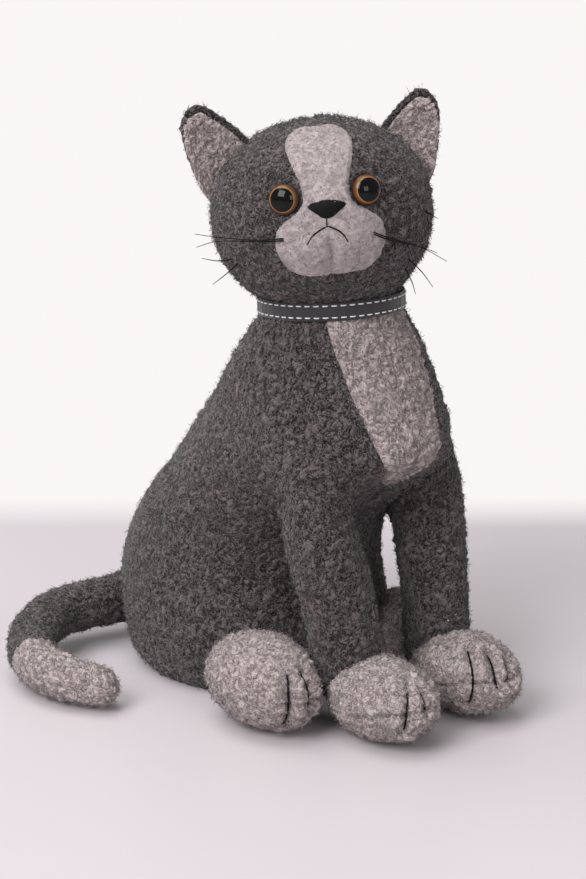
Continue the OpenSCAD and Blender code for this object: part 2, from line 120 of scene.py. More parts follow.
def eased(table: Array, place: Array) -> Array:
    """Second column of a table at a place in its first, as a cubic with matched slopes."""
    keys, values = np.asarray(table, float).T
    slopes = np.gradient(values, keys)
    held = np.clip(place, keys[0], keys[-1])
    low = np.clip(np.searchsorted(keys, held, "right") - 1, 0, len(keys) - 2)
    width = keys[low + 1] - keys[low]
    t = (held - keys[low]) / width
    flat = (1 + 2 * t) * (1 - t) ** 2 * values[low] + t**2 * (3 - 2 * t) * values[low + 1]
    return flat + width * (t * (1 - t) ** 2 * slopes[low] - t**2 * (1 - t) * slopes[low + 1])


def soft_step(t: Array) -> Array:
    """Smooth rise from 0 to 1 while t goes from 0 to 1."""
    held = np.clip(t, 0, 1)
    return held * held * (3 - 2 * held)


def unit(vectors: Array) -> Array:
    """The vectors at length one."""
    return vectors / np.maximum(np.linalg.norm(vectors, axis=-1, keepdims=True), 1e-9)


def turn(axis: str, degrees: float) -> Array:
    """Rotation matrix about one of the axes x, y and z."""
    c, s = math.cos(math.radians(degrees)), math.sin(math.radians(degrees))
    i, j = {"x": (1, 2), "y": (2, 0), "z": (0, 1)}[axis]
    matrix = np.eye(3)
    matrix[[i, j, i, j], [i, j, j, i]] = (c, c, -s, s)
    return matrix


@dataclass(frozen=True)
class Seat:
    """A frame of its own inside the cat's: where it sits and how it is turned."""

    centre: Point
    matrix: Array

    def out(self, points: Array) -> Array:
        """Points of this frame in the cat's."""
        return np.asarray(points, float) @ self.matrix.T + np.array(self.centre)

    def back(self, points: Array) -> Array:
        """Points of the cat's frame in this one."""
        return (points - np.array(self.centre)) @ self.matrix


@dataclass(frozen=True)
class Grain:
    """Smooth noise from -1 to 1, mixed from a seeded lattice of cells of one size."""

    size: float
    seed: int
    cells: int = 32

    def at(self, points: Array) -> Array:
        """The noise at points: the lattice values round each, weighted by a smooth step."""
        table = np.random.default_rng(self.seed).uniform(-1, 1, (self.cells,) * 3)
        cell = points / self.size + self.seed * 0.37
        low = np.floor(cell).astype(int)
        t = soft_step(cell - low)
        total = np.zeros(points.shape[:-1])
        for corner in np.ndindex(2, 2, 2):
            i = (low + corner) % self.cells
            total += np.prod(np.where(corner, t, 1 - t), axis=-1) * table[i[..., 0], i[..., 1], i[..., 2]]
        return total


@dataclass(frozen=True)
class Nap:
    """Raised curls of a napped cloth.

    The relief is the absolute value of a bent noise, which gives round curls between narrow creases,
    with a finer copy of itself on top.
    """

    height: float
    curl: float
    seed: int = 11

    def relief(self, points: Array) -> Array:
        """Height of the curls over the cloth at points."""
        drift = np.stack([Grain(self.curl * 2.3, self.seed + k).at(points) for k in (5, 6, 7)], -1)
        bent = points + drift * self.curl * 0.8
        coarse = np.abs(Grain(self.curl, self.seed).at(bent))
        fine = np.abs(Grain(self.curl * 0.45, self.seed + 1).at(bent))
        return self.height * (1.5 * coarse + 0.8 * fine - 0.35)


def nearness(shape: Field, points: Array) -> tuple[Array, Array]:
    """Distance from a shape's surface and the direction away from it, by its field's slope."""
    slope = np.stack([shape(points + n) - shape(points - n) for n in 0.5 * np.eye(3)], -1)
    size = np.linalg.norm(slope, axis=-1, keepdims=True)
    return shape(points) / size[..., 0], slope / size


def merged(points: Array, own: Field, other: Field, reach: float) -> Array:
    """Points of one surface, moved onto its rounded join with another.

    The join is where the smooth minimum of the two distances is nought. Inside the other shape the
    move dies away, so that this surface dives under it.

    Args:
        points: Points on the surface of own.
        own: Field of the surface's own shape, below nought inside it.
        other: Field of the shape it joins.
        reach: Width of the rounding.

    Returns:
        The moved points.
    """
    let_go = soft_step(1 + nearness(other, points)[0] / reach)
    for _ in range(3):
        a, away_a = nearness(own, points)
        b, away_b = nearness(other, points)
        share = np.clip(0.5 + 0.5 * (b - a) / reach, 0, 1)
        gap = b * (1 - share) + a * share - reach * share * (1 - share)
        away = unit(away_a * share[..., None] + away_b * (1 - share[..., None]))
        points = points - away * (gap * let_go)[..., None]
    return points


# ---------------------------------------------------------------- surfaces and meshes


@dataclass
class Skin:
    """A surface as a grid of points: rows along it and columns round it.

    Columns turn so that the way along a row crossed with the way up a column points outwards.
    """

    points: Array
    closed: bool = False
    poles: tuple[bool, bool] = (False, False)

    def outward(self) -> Array:
        """Unit normals, from the differences between neighbours."""
        up = np.gradient(self.points, axis=0)
        if self.closed:
            across = np.roll(self.points, -1, axis=1) - np.roll(self.points, 1, axis=1)
        else:
            across = np.gradient(self.points, axis=1)
        normals = np.cross(across, up)
        for pole, row, near in ((self.poles[0], 0, 1), (self.poles[1], -1, -2)):
            if pole:
                normals[row] = normals[near]
        return unit(normals)

    def raised(self, by: Array | float) -> "Skin":
        """The same surface, moved outwards by an amount at each point."""
        amount = np.broadcast_to(by, self.points.shape[:2])[..., None]
        return Skin(self.points + self.outward() * amount, self.closed, self.poles)

    def cells(self) -> tuple[Array, Array, Array]:
        """Each cell's side across, its side up, and its area by the length of their cross product."""
        p = self.points
        across, up = p[:-1, 1:] - p[:-1, :-1], p[1:, :-1] - p[:-1, :-1]
        return across, up, np.linalg.norm(np.cross(across, up), axis=2)

    def edge_depth(self, depth: float, width: float, edges: str) -> Array:
        """How far the cloth dips at its sewn edges: depth times a bell curve of the distance.

        Args:
            depth: Dip at the edge itself.
            width: Distance at which the bell has mostly died away.
            edges: Any of the letters l, r, b and t for first and last column, first and last row.

        Returns:
            The dip at each point.
        """
        rows, columns = self.points.shape[:2]
        pitch_r = np.linalg.norm(np.diff(self.points, axis=0), axis=2).mean()
        steps = np.linalg.norm(np.diff(self.points, axis=1), axis=2)
        pitch_c = steps.mean(1)[:, None]
        i, j = np.mgrid[:rows, :columns]
        gaps = {"l": j * pitch_c, "r": (columns - 1 - j) * pitch_c,
                "b": i * pitch_r, "t": (rows - 1 - i) * pitch_r}
        near = np.min([gaps[e] for e in edges], axis=0)
        return depth * np.exp(-((near / width) ** 2))


def grid_quads(rows: int, columns: int, closed: bool, start: int = 0) -> Array:
    """Corner numbers of the four-sided faces of a grid."""
    i, j = np.meshgrid(np.arange(rows - 1), np.arange(columns if closed else columns - 1), indexing="ij")
    a, b = i * columns + j, i * columns + (j + 1) % columns
    return start + np.stack([a, b, b + columns, a + columns], -1).reshape(-1, 4)


def end_caps(rows: int, columns: int) -> Array:
    """Triangles that close both ends of a closed grid, each round a point that follows the grid's own."""
    a = np.arange(rows * columns).reshape(rows, columns)
    b = np.roll(a, -1, axis=1)
    start = np.stack([b[0], a[0], np.full(columns, a.size)], 1)
    end = np.stack([a[-1], b[-1], np.full(columns, a.size + 1)], 1)
    return np.vstack([start, end])


def hem(fine: Array, coarse: Array, step: int) -> Array:
    """Triangles from a fine edge to a coarse one, which has one point for each step of the fine."""
    j = np.arange(len(fine) - 1)
    i = np.arange(len(coarse) - 1)
    fans = np.stack([fine[j + 1], fine[j], coarse[(j + step // 2) // step]], 1)
    gaps = np.stack([coarse[i], coarse[i + 1], fine[i * step + step - step // 2]], 1)
    return np.vstack([fans, gaps])


def cloth_shell(skin: Skin, lining: Skin, step: int) -> tuple[Array, Array, Array]:
    """Closed body of cloth between a fine outer skin and a coarser lining under it.

    Args:
        skin: The outer surface.
        lining: The inner surface, on the same grid.
        step: How many rows and columns of the grid the lining leaves out, plus one.

    Returns:
        Points, triangles and four-sided faces.
    """
    m, n = skin.points.shape[:2]
    inner = lining.points[::step, ::step]
    p, q = inner.shape[:2]
    points = [skin.points.reshape(-1, 3), inner.reshape(-1, 3)]
    a = np.arange(m * n).reshape(m, n)
    b = m * n + np.arange(p * q).reshape(p, q)
    quads = np.vstack([grid_quads(m, n, skin.closed), grid_quads(p, q, skin.closed, m * n)[:, ::-1]])
    if skin.closed:
        a, b = np.hstack([a, a[:, :1]]), np.hstack([b, b[:, :1]])
    triangles, top = [], m * n + p * q
    for pole, row, way in ((skin.poles[0], 0, 1), (skin.poles[1], -1, -1)):
        fine, coarse = a[row][::way], b[row][::way]
        if pole:
            points.append(np.stack([skin.points[row].mean(0), inner[row].mean(0)]))
            triangles.append(np.stack([fine[1:], fine[:-1], np.full(len(fine) - 1, top)], 1))
            triangles.append(np.stack([coarse[:-1], coarse[1:], np.full(len(coarse) - 1, top + 1)], 1))
            top += 2
        else:
            triangles.append(hem(fine, coarse, step))
    if not skin.closed:
        triangles.append(hem(a[:, 0][::-1], b[:, 0][::-1], step))
        triangles.append(hem(a[:, -1], b[:, -1], step))
    return np.vstack(points), np.vstack(triangles), quads


def make_piece(name: str, points: Array, triangles: Array, quads: Array,
               finishes: list[bpy.types.Material], slots: Array | None = None) -> bpy.types.Object:
    """Makes a mesh object at the origin from points in millimetres.

    Args:
        name: The piece's name.
        points: Its points.
        triangles: Corner numbers of its three-sided faces.
        quads: Corner numbers of its four-sided faces.
        finishes: Its materials.
        slots: Which material each face takes, triangles first.

    Returns:
        The new object.
    """
    triangles = np.asarray(triangles, int).reshape(-1, 3)
    quads = np.asarray(quads, int).reshape(-1, 4)
    mesh = bpy.data.meshes.new(name)
    mesh.vertices.add(len(points))
    mesh.vertices.foreach_set("co", (points * MM).astype(np.float32).ravel())
    corners = np.concatenate([triangles.ravel(), quads.ravel()])
    sizes = np.concatenate([np.full(len(triangles), 3), np.full(len(quads), 4)])
    mesh.loops.add(len(corners))
    mesh.loops.foreach_set("vertex_index", corners.astype(np.int32))
    mesh.polygons.add(len(sizes))
    mesh.polygons.foreach_set("loop_start", (np.cumsum(sizes) - sizes).astype(np.int32))
    mesh.polygons.foreach_set("loop_total", sizes.astype(np.int32))
    mesh.polygons.foreach_set("use_smooth", np.ones(len(sizes), bool))
    for finish in finishes:
        mesh.materials.append(finish)
    if slots is not None:
        mesh.polygons.foreach_set("material_index", slots.astype(np.int32))
    mesh.update(calc_edges=True)
    piece = bpy.data.objects.new(name, mesh)
    bpy.context.scene.collection.objects.link(piece)
    log.info("%s: %d points, %d faces", name, len(points), len(sizes))
    return piece


def mark(piece: bpy.types.Object, name: str, values: Array) -> None:
    """Gives every point of a piece a number that its finish can read."""
    layer = piece.data.attributes.new(name, "FLOAT", "POINT")
    layer.data.foreach_set("value", values.astype(np.float32).ravel())


def mark_uv(piece: bpy.types.Object, uv: Array) -> None:
    """Gives a piece a UV map with one place for each point."""
    corners = np.zeros(len(piece.data.loops), np.int32)
    piece.data.loops.foreach_get("vertex_index", corners)
    layer = piece.data.uv_layers.new(name="UVMap")
    layer.data.foreach_set("uv", uv[corners].astype(np.float32).ravel())


def thread(path: Array, radius: float | Array, sides: int = 8,
           twist: float = 0.0) -> tuple[Array, Array, Array]:
    """Round thread along a path, drawn to a point at both ends.

    Each ring is the path's point plus the radius times the cosine and sine round two directions square
    to the path.

    Args:
        path: Points along the middle of the thread.
        radius: Its radius, or one for each point.
        sides: Points in each ring.
        twist: How far the ply swells and thins round it, as a share of the radius.

    Returns:
        Points, triangles and four-sided faces.
    """
    rings = len(path)
    ahead = unit(np.gradient(path, axis=0))
    over = unit(np.cross(ahead, np.where(np.abs(ahead[:, 2:]) < 0.9, (0.0, 0.0, 1.0), (1.0, 0.0, 0.0))))
    aside = np.cross(over, ahead)
    k = np.arange(sides) * 2 * np.pi / sides
    length = np.concatenate([[0.0], np.cumsum(np.linalg.norm(np.diff(path, axis=0), axis=1))])
    ply = 1 + twist * np.cos(2 * k[None] - (length / np.maximum(np.max(radius), 1e-6))[:, None])
    size = np.broadcast_to(radius, rings)[:, None] * ply
    outwards, sideways = (np.cos(k)[None] * size)[..., None], (np.sin(k)[None] * size)[..., None]
    ring = over[:, None] * outwards - aside[:, None] * sideways
    grid = path[:, None] + ring
    tips = np.stack([path[0] - ahead[0] * np.mean(size[0]), path[-1] + ahead[-1] * np.mean(size[-1])])
    points = np.vstack([grid.reshape(-1, 3), tips])
    return points, end_caps(rings, sides), grid_quads(rings, sides, True)


def together(parts: list[tuple[Array, Array, Array]]) -> tuple[Array, Array, Array]:
    """Several meshes as one, each still a closed body of its own."""
    starts = np.cumsum([0] + [len(p[0]) for p in parts[:-1]])
    return (np.vstack([p[0] for p in parts]), np.vstack([p[1] + s for p, s in zip(parts, starts)]),
            np.vstack([p[2] + s for p, s in zip(parts, starts)]))


def near_path(points: Array, path: Array) -> Array:
    """Distance from each point to the nearest point of a path."""
    flat = points.reshape(-1, 3)
    best = np.full(len(flat), 1e9)
    for spot in path:
        best = np.minimum(best, np.sum((flat - spot) ** 2, axis=1))
    return np.sqrt(best).reshape(points.shape[:-1])


# ---------------------------------------------------------------- finishes


class Board:
    """A material's node board, with short ways to add nodes and join them."""

    def __init__(self, name: str, **sockets: object) -> None:
        """Starts a material with one Principled shader whose sockets take the values given."""
        self.material = bpy.data.materials.new(name)
        self.material.use_nodes = True
        self.tree = self.material.node_tree
        self.shader = self.tree.nodes["Principled BSDF"]
        for socket, value in sockets.items():
            self.set(self.shader, socket.replace("_", " "), value)

    def set(self, node: bpy.types.Node, socket: str, value: object) -> None:
        """Sets a socket to a value, or joins it to another socket."""
        if isinstance(value, bpy.types.NodeSocket):
            self.tree.links.new(value, node.inputs[socket])
        elif isinstance(value, tuple) and len(value) == 3 and node.inputs[socket].type == "RGBA":
            node.inputs[socket].default_value = (*value, 1.0)
        else:
            node.inputs[socket].default_value = value

    def add(self, kind: str, sockets: dict[str, object] | None = None, **settings: object) -> bpy.types.Node:
        """Adds a node, with its settings and what its sockets take."""
        node = self.tree.nodes.new(kind)
        for name, value in settings.items():
            setattr(node, name, value)
        for socket, value in (sockets or {}).items():
            self.set(node, socket, value)
        return node

    def place(self) -> bpy.types.NodeSocket:
        """The piece's own place, in metres."""
        return self.add("ShaderNodeTexCoord").outputs["Object"]

    def noise(self, size: float, detail: float = 2.0, distortion: float = 0.0) -> bpy.types.NodeSocket:
        """Noise with features of a size in millimetres."""
        sockets = {"Vector": self.place(), "Scale": 1 / (size * MM), "Detail": detail,
                   "Distortion": distortion}
        return self.add("ShaderNodeTexNoise", sockets).outputs["Fac"]

    def clamp(self, value: bpy.types.NodeSocket) -> bpy.types.NodeSocket:
        """The value, held between 0 and 1."""
        return self.add("ShaderNodeClamp", {"Value": value}).outputs["Result"]

    def swirl(self, size: float, turns: float) -> bpy.types.NodeSocket:
        """Curling strands: half of one plus the sine of a noise's height times a number of turns."""
        wave = self.sum("SINE", self.sum("MULTIPLY", self.noise(size, 1.5, distortion=0.6), turns), 0.0)
        return self.sum("ADD", self.sum("MULTIPLY", wave, 0.5), 0.5)

    def sum(self, kind: str, a: object, b: object) -> bpy.types.NodeSocket:
        """A Math node of one kind on two values."""
        node = self.add("ShaderNodeMath", operation=kind)
        for socket, value in zip(node.inputs, (a, b)):
            if isinstance(value, bpy.types.NodeSocket):
                self.tree.links.new(value, socket)
            else:
                socket.default_value = value
        return node.outputs[0]

    def weighed(self, *parts: tuple[bpy.types.NodeSocket, float]) -> bpy.types.NodeSocket:
        """The sum of values, each times its weight."""
        shares = [self.sum("MULTIPLY", value, weight) for value, weight in parts]
        total = shares[0]
        for share in shares[1:]:
            total = self.sum("ADD", total, share)
        return total

    def ramp(self, value: bpy.types.NodeSocket, stops: list[tuple[float, Point]]) -> bpy.types.NodeSocket:
        """Colours by a value, through stops of place and colour."""
        node = self.add("ShaderNodeValToRGB", {"Fac": value})
        for at, colour in stops[2:]:
            node.color_ramp.elements.new(at)
        for element, (at, colour) in zip(node.color_ramp.elements, stops):
            element.position, element.color = at, (*colour, 1.0)
        return node.outputs["Color"]

    def bump(self, height: bpy.types.NodeSocket, depth: float, strength: float = 1.0) -> None:
        """Gives the shader a relief of a depth in millimetres."""
        node = self.add("ShaderNodeBump", {"Height": height, "Distance": depth * MM, "Strength": strength})
        self.set(self.shader, "Normal", node.outputs["Normal"])


def grey(level: float, cast: Point = (1.0, 1.0, 1.0)) -> Point:
    """A grey of a linear brightness, times a faint cast of red, green and blue."""
    return (level * cast[0], level * cast[1], level * cast[2])


@dataclass(frozen=True)
class Wool:
    """Marled napped wool: dark and pale fibres mixed, with painted shade that darkens the creases between
    curls and lightens their tops.
    """

    tone: Tone
    low: float
    middle: float
    high: float
    cast: Point = (1.22, 1.0, 1.01)
    strand: float = 3.2
    sheen: float = 0.2

    def material(self) -> bpy.types.Material:
        """Mixes the curls' height, as painted shade in the creases, with swirling strands and two noises, and
        ramps the sum through greys.
        """
        board = Board(f"{self.tone.value}_wool", Roughness=0.95, Sheen_Weight=self.sheen,
                      Sheen_Roughness=0.5, Specular_IOR_Level=0.12)
        # painted shade: the curls' height darkens the colour in the creases and lightens it on the tops
        nap = board.add("ShaderNodeAttribute", attribute_name="nap").outputs["Fac"]
        strands = board.swirl(self.strand, 34.0)
        marl = board.noise(1.1, 3.0, distortion=1.2)
        cast = board.noise(26.0, 1.0)
        mix = board.weighed((nap, 0.22), (strands, 0.27), (marl, 0.6), (cast, 0.12))
        stops = [(0.4, grey(self.low, self.cast)), (0.58, grey(self.middle, self.cast)),
                 (0.8, grey(self.high, self.cast))]
        board.set(board.shader, "Base Color", board.ramp(mix, stops))
        board.bump(board.sum("ADD", strands, board.sum("MULTIPLY", marl, 1.5)), 0.5, 0.8)
        return board.material


@dataclass(frozen=True)
class Felt:
    """Brushed felt: pale fibres pressed flat, with faint darker flecks."""

    low: float = 0.13
    high: float = 0.37
    cast: Point = (1.175, 1.0, 1.01)

    def material(self) -> bpy.types.Material:
        """Ramps a fine and a middling noise through pale greys."""
        board = Board("face_felt", Roughness=0.9, Sheen_Weight=0.3, Sheen_Roughness=0.5,
                      Specular_IOR_Level=0.15)
        fine = board.noise(0.9, 3.0, distortion=2.0)
        flecks = board.noise(3.4, 3.0, distortion=0.8)
        mix = board.weighed((fine, 0.5), (flecks, 0.5))
        stops = [(0.34, grey(self.low, self.cast)), (0.52, grey(0.53 * (self.low + self.high), self.cast)),
                 (0.67, grey(self.high, self.cast))]
        board.set(board.shader, "Base Color", board.ramp(mix, stops))
        board.bump(fine, 0.35, 0.7)
        return board.material


@dataclass(frozen=True)
class Fibre:
    """The loose fibres of a wool: three plain dyes, of which each fibre has one."""

    tone: Tone
    levels: tuple[float, float, float]
    cast: Point = (1.22, 1.0, 1.01)

    def materials(self) -> list[bpy.types.Material]:
        """One material for each dye, darkest first."""
        return [Board(f"{self.tone.value}_fibre_{i}", Base_Color=grey(level, self.cast), Roughness=0.9,
                      Sheen_Weight=0.25, Specular_IOR_Level=0.2).material
                for i, level in enumerate(self.levels)]


@dataclass(frozen=True)
class Thread:
    """Twisted thread with a slight gloss, its plies a band pattern round the stitch."""

    name: str
    dark: float
    pale: float
    gloss: float = 0.6

    def material(self) -> bpy.types.Material:
        """Slanting bands on the thread's own UV map, broken by a fine noise."""
        board = Board(self.name, Roughness=self.gloss, Specular_IOR_Level=0.1)
        where = board.add("ShaderNodeUVMap").outputs["UV"]
        bands = board.add("ShaderNodeTexWave", {"Vector": where, "Scale": 6.0, "Distortion": 1.0},
                          bands_direction="DIAGONAL").outputs["Fac"]
        mix = board.weighed((bands, 0.6), (board.noise(0.4), 0.4))
        stops = [(0.2, grey(self.dark)), (0.8, grey(self.pale))]
        board.set(board.shader, "Base Color", board.ramp(mix, stops))
        board.bump(bands, 0.15, 0.5)
        return board.material


@dataclass(frozen=True)
class Ribbon:
    """Ribbed slate ribbon: cross ribs with a soft gloss on their backs."""

    dark: Point = (0.0065, 0.0057, 0.007)
    pale: Point = (0.023, 0.021, 0.0245)

    def material(self) -> bpy.types.Material:
        """Bands across the ribbon's own UV map, two to the millimetre round it."""
        board = Board("ribbed_ribbon", Roughness=0.55, Sheen_Weight=0.3, Specular_IOR_Level=0.35)
        where = board.add("ShaderNodeUVMap").outputs["UV"]
        ribs = board.add("ShaderNodeTexWave", {"Vector": where, "Scale": 0.55, "Distortion": 0.3,
                                               "Detail": 1.0}).outputs["Fac"]
        worn = board.noise(5.0, 2.0)
        mix = board.weighed((ribs, 0.6), (worn, 0.4))
        board.set(board.shader, "Base Color", board.ramp(mix, [(0.15, self.dark), (0.85, self.pale)]))
        board.bump(ribs, 0.12, 0.6)
        return board.material


@dataclass(frozen=True)
class Glass:
    """Glossy eye bead: black pupil, amber ring and dark rim by the distance from its middle."""

    pupil: float = 0.755

    def material(self) -> bpy.types.Material:
        """Ramps the bead's radius share, stored in its UV map, through the ring's colours."""
        board = Board("amber_eye", Roughness=0.07, Specular_IOR_Level=0.2)
        where = board.add("ShaderNodeUVMap").outputs["UV"]
        radius = board.add("ShaderNodeSeparateXYZ", {"Vector": where}).outputs["Y"]
        flecks = board.noise(0.7, 2.0, distortion=1.0)
        wander = board.sum("MULTIPLY", board.sum("SUBTRACT", flecks, 0.5), 0.05)
        ink, amber, gold = (0.002, 0.002, 0.002), (0.12, 0.048, 0.014), (0.3, 0.165, 0.06)
        stops = [(0.0, ink), (self.pupil, ink), (self.pupil + 0.03, (0.08, 0.03, 0.01)), (0.78, gold),
                 (0.86, amber), (0.93, (0.09, 0.035, 0.014)), (1.0, (0.02, 0.01, 0.006))]
        board.set(board.shader, "Base Color", board.ramp(board.sum("ADD", radius, wander), stops))
        return board.material


@dataclass(frozen=True)
class Filling:
    """Loose filling, pellet bag or washer, seen only when the cat is opened."""

    name: str
    low: Point
    high: Point
    grain: float
    roughness: float = 0.95

    def material(self) -> bpy.types.Material:
        """Two sizes of noise through two colours."""
        board = Board(self.name, Roughness=self.roughness)
        lumps = board.noise(self.grain, 4.0)
        board.set(board.shader, "Base Color", board.ramp(lumps, [(0.35, self.low), (0.65, self.high)]))
        board.bump(lumps, self.grain * 0.15, 0.6)
        return board.material


@dataclass
class Cupboard:
    """Every finish of the cat, mixed once."""

    nap: dict[Tone, Nap] = field(default_factory=lambda: {
        Tone.DARK: Nap(1.25, 2.5), Tone.LIGHT: Nap(1.3, 2.8), Tone.FELT: Nap(0.35, 2.2)})

    def __post_init__(self) -> None:
        """Mixes the materials."""
        pale = (1.2, 1.0, 0.98)
        self.cloth = {Tone.DARK: Wool(Tone.DARK, 0.0042, 0.0185, 0.105).material(),
                      Tone.LIGHT: Wool(Tone.LIGHT, 0.105, 0.215, 0.37, pale, 3.6).material(),
                      Tone.FELT: Felt().material()}
        self.fibres = {Tone.DARK: Fibre(Tone.DARK, (0.007, 0.023, 0.085)).materials(),
                       Tone.LIGHT: Fibre(Tone.LIGHT, (0.095, 0.195, 0.33), pale).materials(),
                       Tone.FELT: Fibre(Tone.FELT, (0.13, 0.24, 0.38), pale).materials()}
        self.black_thread = Thread("black_thread", 0.002, 0.009).material()
        self.white_thread = Thread("white_thread", 0.62, 0.8, 0.7).material()
        self.ribbon = Ribbon().material()
        self.eye = Glass().material()
        self.stuffing = Filling("stuffing", (0.62, 0.61, 0.57), (0.86, 0.85, 0.82), 4.0).material()
        self.pellets = Filling("pellet_bag", (0.5, 0.46, 0.38), (0.72, 0.68, 0.6), 3.0).material()
        self.washer = Filling("washer", (0.6, 0.6, 0.6), (0.72, 0.72, 0.72), 6.0, 0.4).material()


# ---------------------------------------------------------------- cloth pieces


@dataclass(frozen=True)
class Ride:
    """What a piece moves with: one body, or two bodies and a stretch between them; a piece between two bodies
    is not bent here.
    """

    body: str
    onto: str | None = None
    start: Point = (0.0, 0.0, 0.0)
    end: Point = (0.0, 0.0, 0.0)

    def take(self, piece: bpy.types.Object) -> None:
        """Puts the piece on its one body, or else bakes its place into its mesh."""
        if self.onto is None:
            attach(piece, self.body)
        else:
            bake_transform(piece)

    def fit(self, piece: bpy.types.Object, stands_for: str) -> None:
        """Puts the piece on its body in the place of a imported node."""
        self.take(piece)
        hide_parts(stands_for)


@dataclass(frozen=True)
class Pile:
    """Loose curled fibres that lie on a cloth.

    Each fibre is a four-point curve from a root just under the cloth, as a thin three-sided spindle.
    """

    length: float = 2.7
    lift: float = 0.28
    stray: float = 0.03
    radius: float = 0.1

    def grow(self, skin: Skin, count: int, seed: int) -> tuple[Array, Array, Array, Array]:
        """Fibres scattered evenly over a skin.

        Args:
            skin: The cloth's outer surface.
            count: How many fibres.
            seed: Start of the random draws.

        Returns:
            Points, triangles, four-sided faces and which dye each face takes.
        """
        rng = np.random.default_rng(seed)
        p, n = skin.points, skin.outward()
        across, up, area = skin.cells()
        cells = np.searchsorted(np.cumsum(area.ravel()), rng.random(count) * area.sum())
        i, j = np.unravel_index(np.minimum(cells, area.size - 1), area.shape)
        u, v = rng.random((2, count, 1))
        root = p[i, j] + u * across[i, j] + v * up[i, j]
        out = n[i, j]
        side = unit(across[i, j])
        other = np.cross(out, side)
        heading = rng.uniform(0, 2 * np.pi, count)
        curl = rng.normal(0, 0.75, count)
        stride = self.length / 3 * rng.uniform(0.6, 1.3, (count, 1))
        wild = np.where(rng.random(count) < self.stray, 2.6, 1.0)[:, None]
        middle = [root - 0.4 * out]
        for k in range(1, 4):
            way = np.cos(heading + k * curl)[:, None] * side + np.sin(heading + k * curl)[:, None] * other
            rise = self.lift * wild * rng.uniform(-0.35 if k > 1 else 1.0, 1.25, (count, 1))
            middle.append(middle[-1] + way * stride + out * (rise + (0.4 if k == 1 else 0)))
        rings = []
        thick = self.radius * rng.uniform(0.75, 1.3, (count, 1))
        for k in (1, 2):
            axis = unit(middle[k + 1] - middle[k - 1])
            flank = unit(np.cross(axis, out))
            top = np.cross(flank, axis)
            turns = [(math.cos(t), math.sin(t)) for t in (0.0, 2 * math.pi / 3, 4 * math.pi / 3)]
            rings.append([middle[k] + thick * (c * flank + s * top) for c, s in turns])
        points = np.stack([middle[0], *rings[0], *rings[1], middle[3]], 1).reshape(-1, 3)
        base = np.arange(count)[:, None, None] * 8
        ends = np.array([[0, 2, 1], [0, 3, 2], [0, 1, 3], [7, 4, 5], [7, 5, 6], [7, 6, 4]])
        walls = np.array([[1, 2, 5, 4], [2, 3, 6, 5], [3, 1, 4, 6]])
        marl = Grain(2.6, 3).at(root) + rng.normal(0, 0.42, count)
        dye = np.digitize(marl, (-0.2, 0.42))
        slots = np.concatenate([np.repeat(dye, 6), np.repeat(dye, 3)])
        return points, (base + ends).reshape(-1, 3), (base + walls).reshape(-1, 4), slots


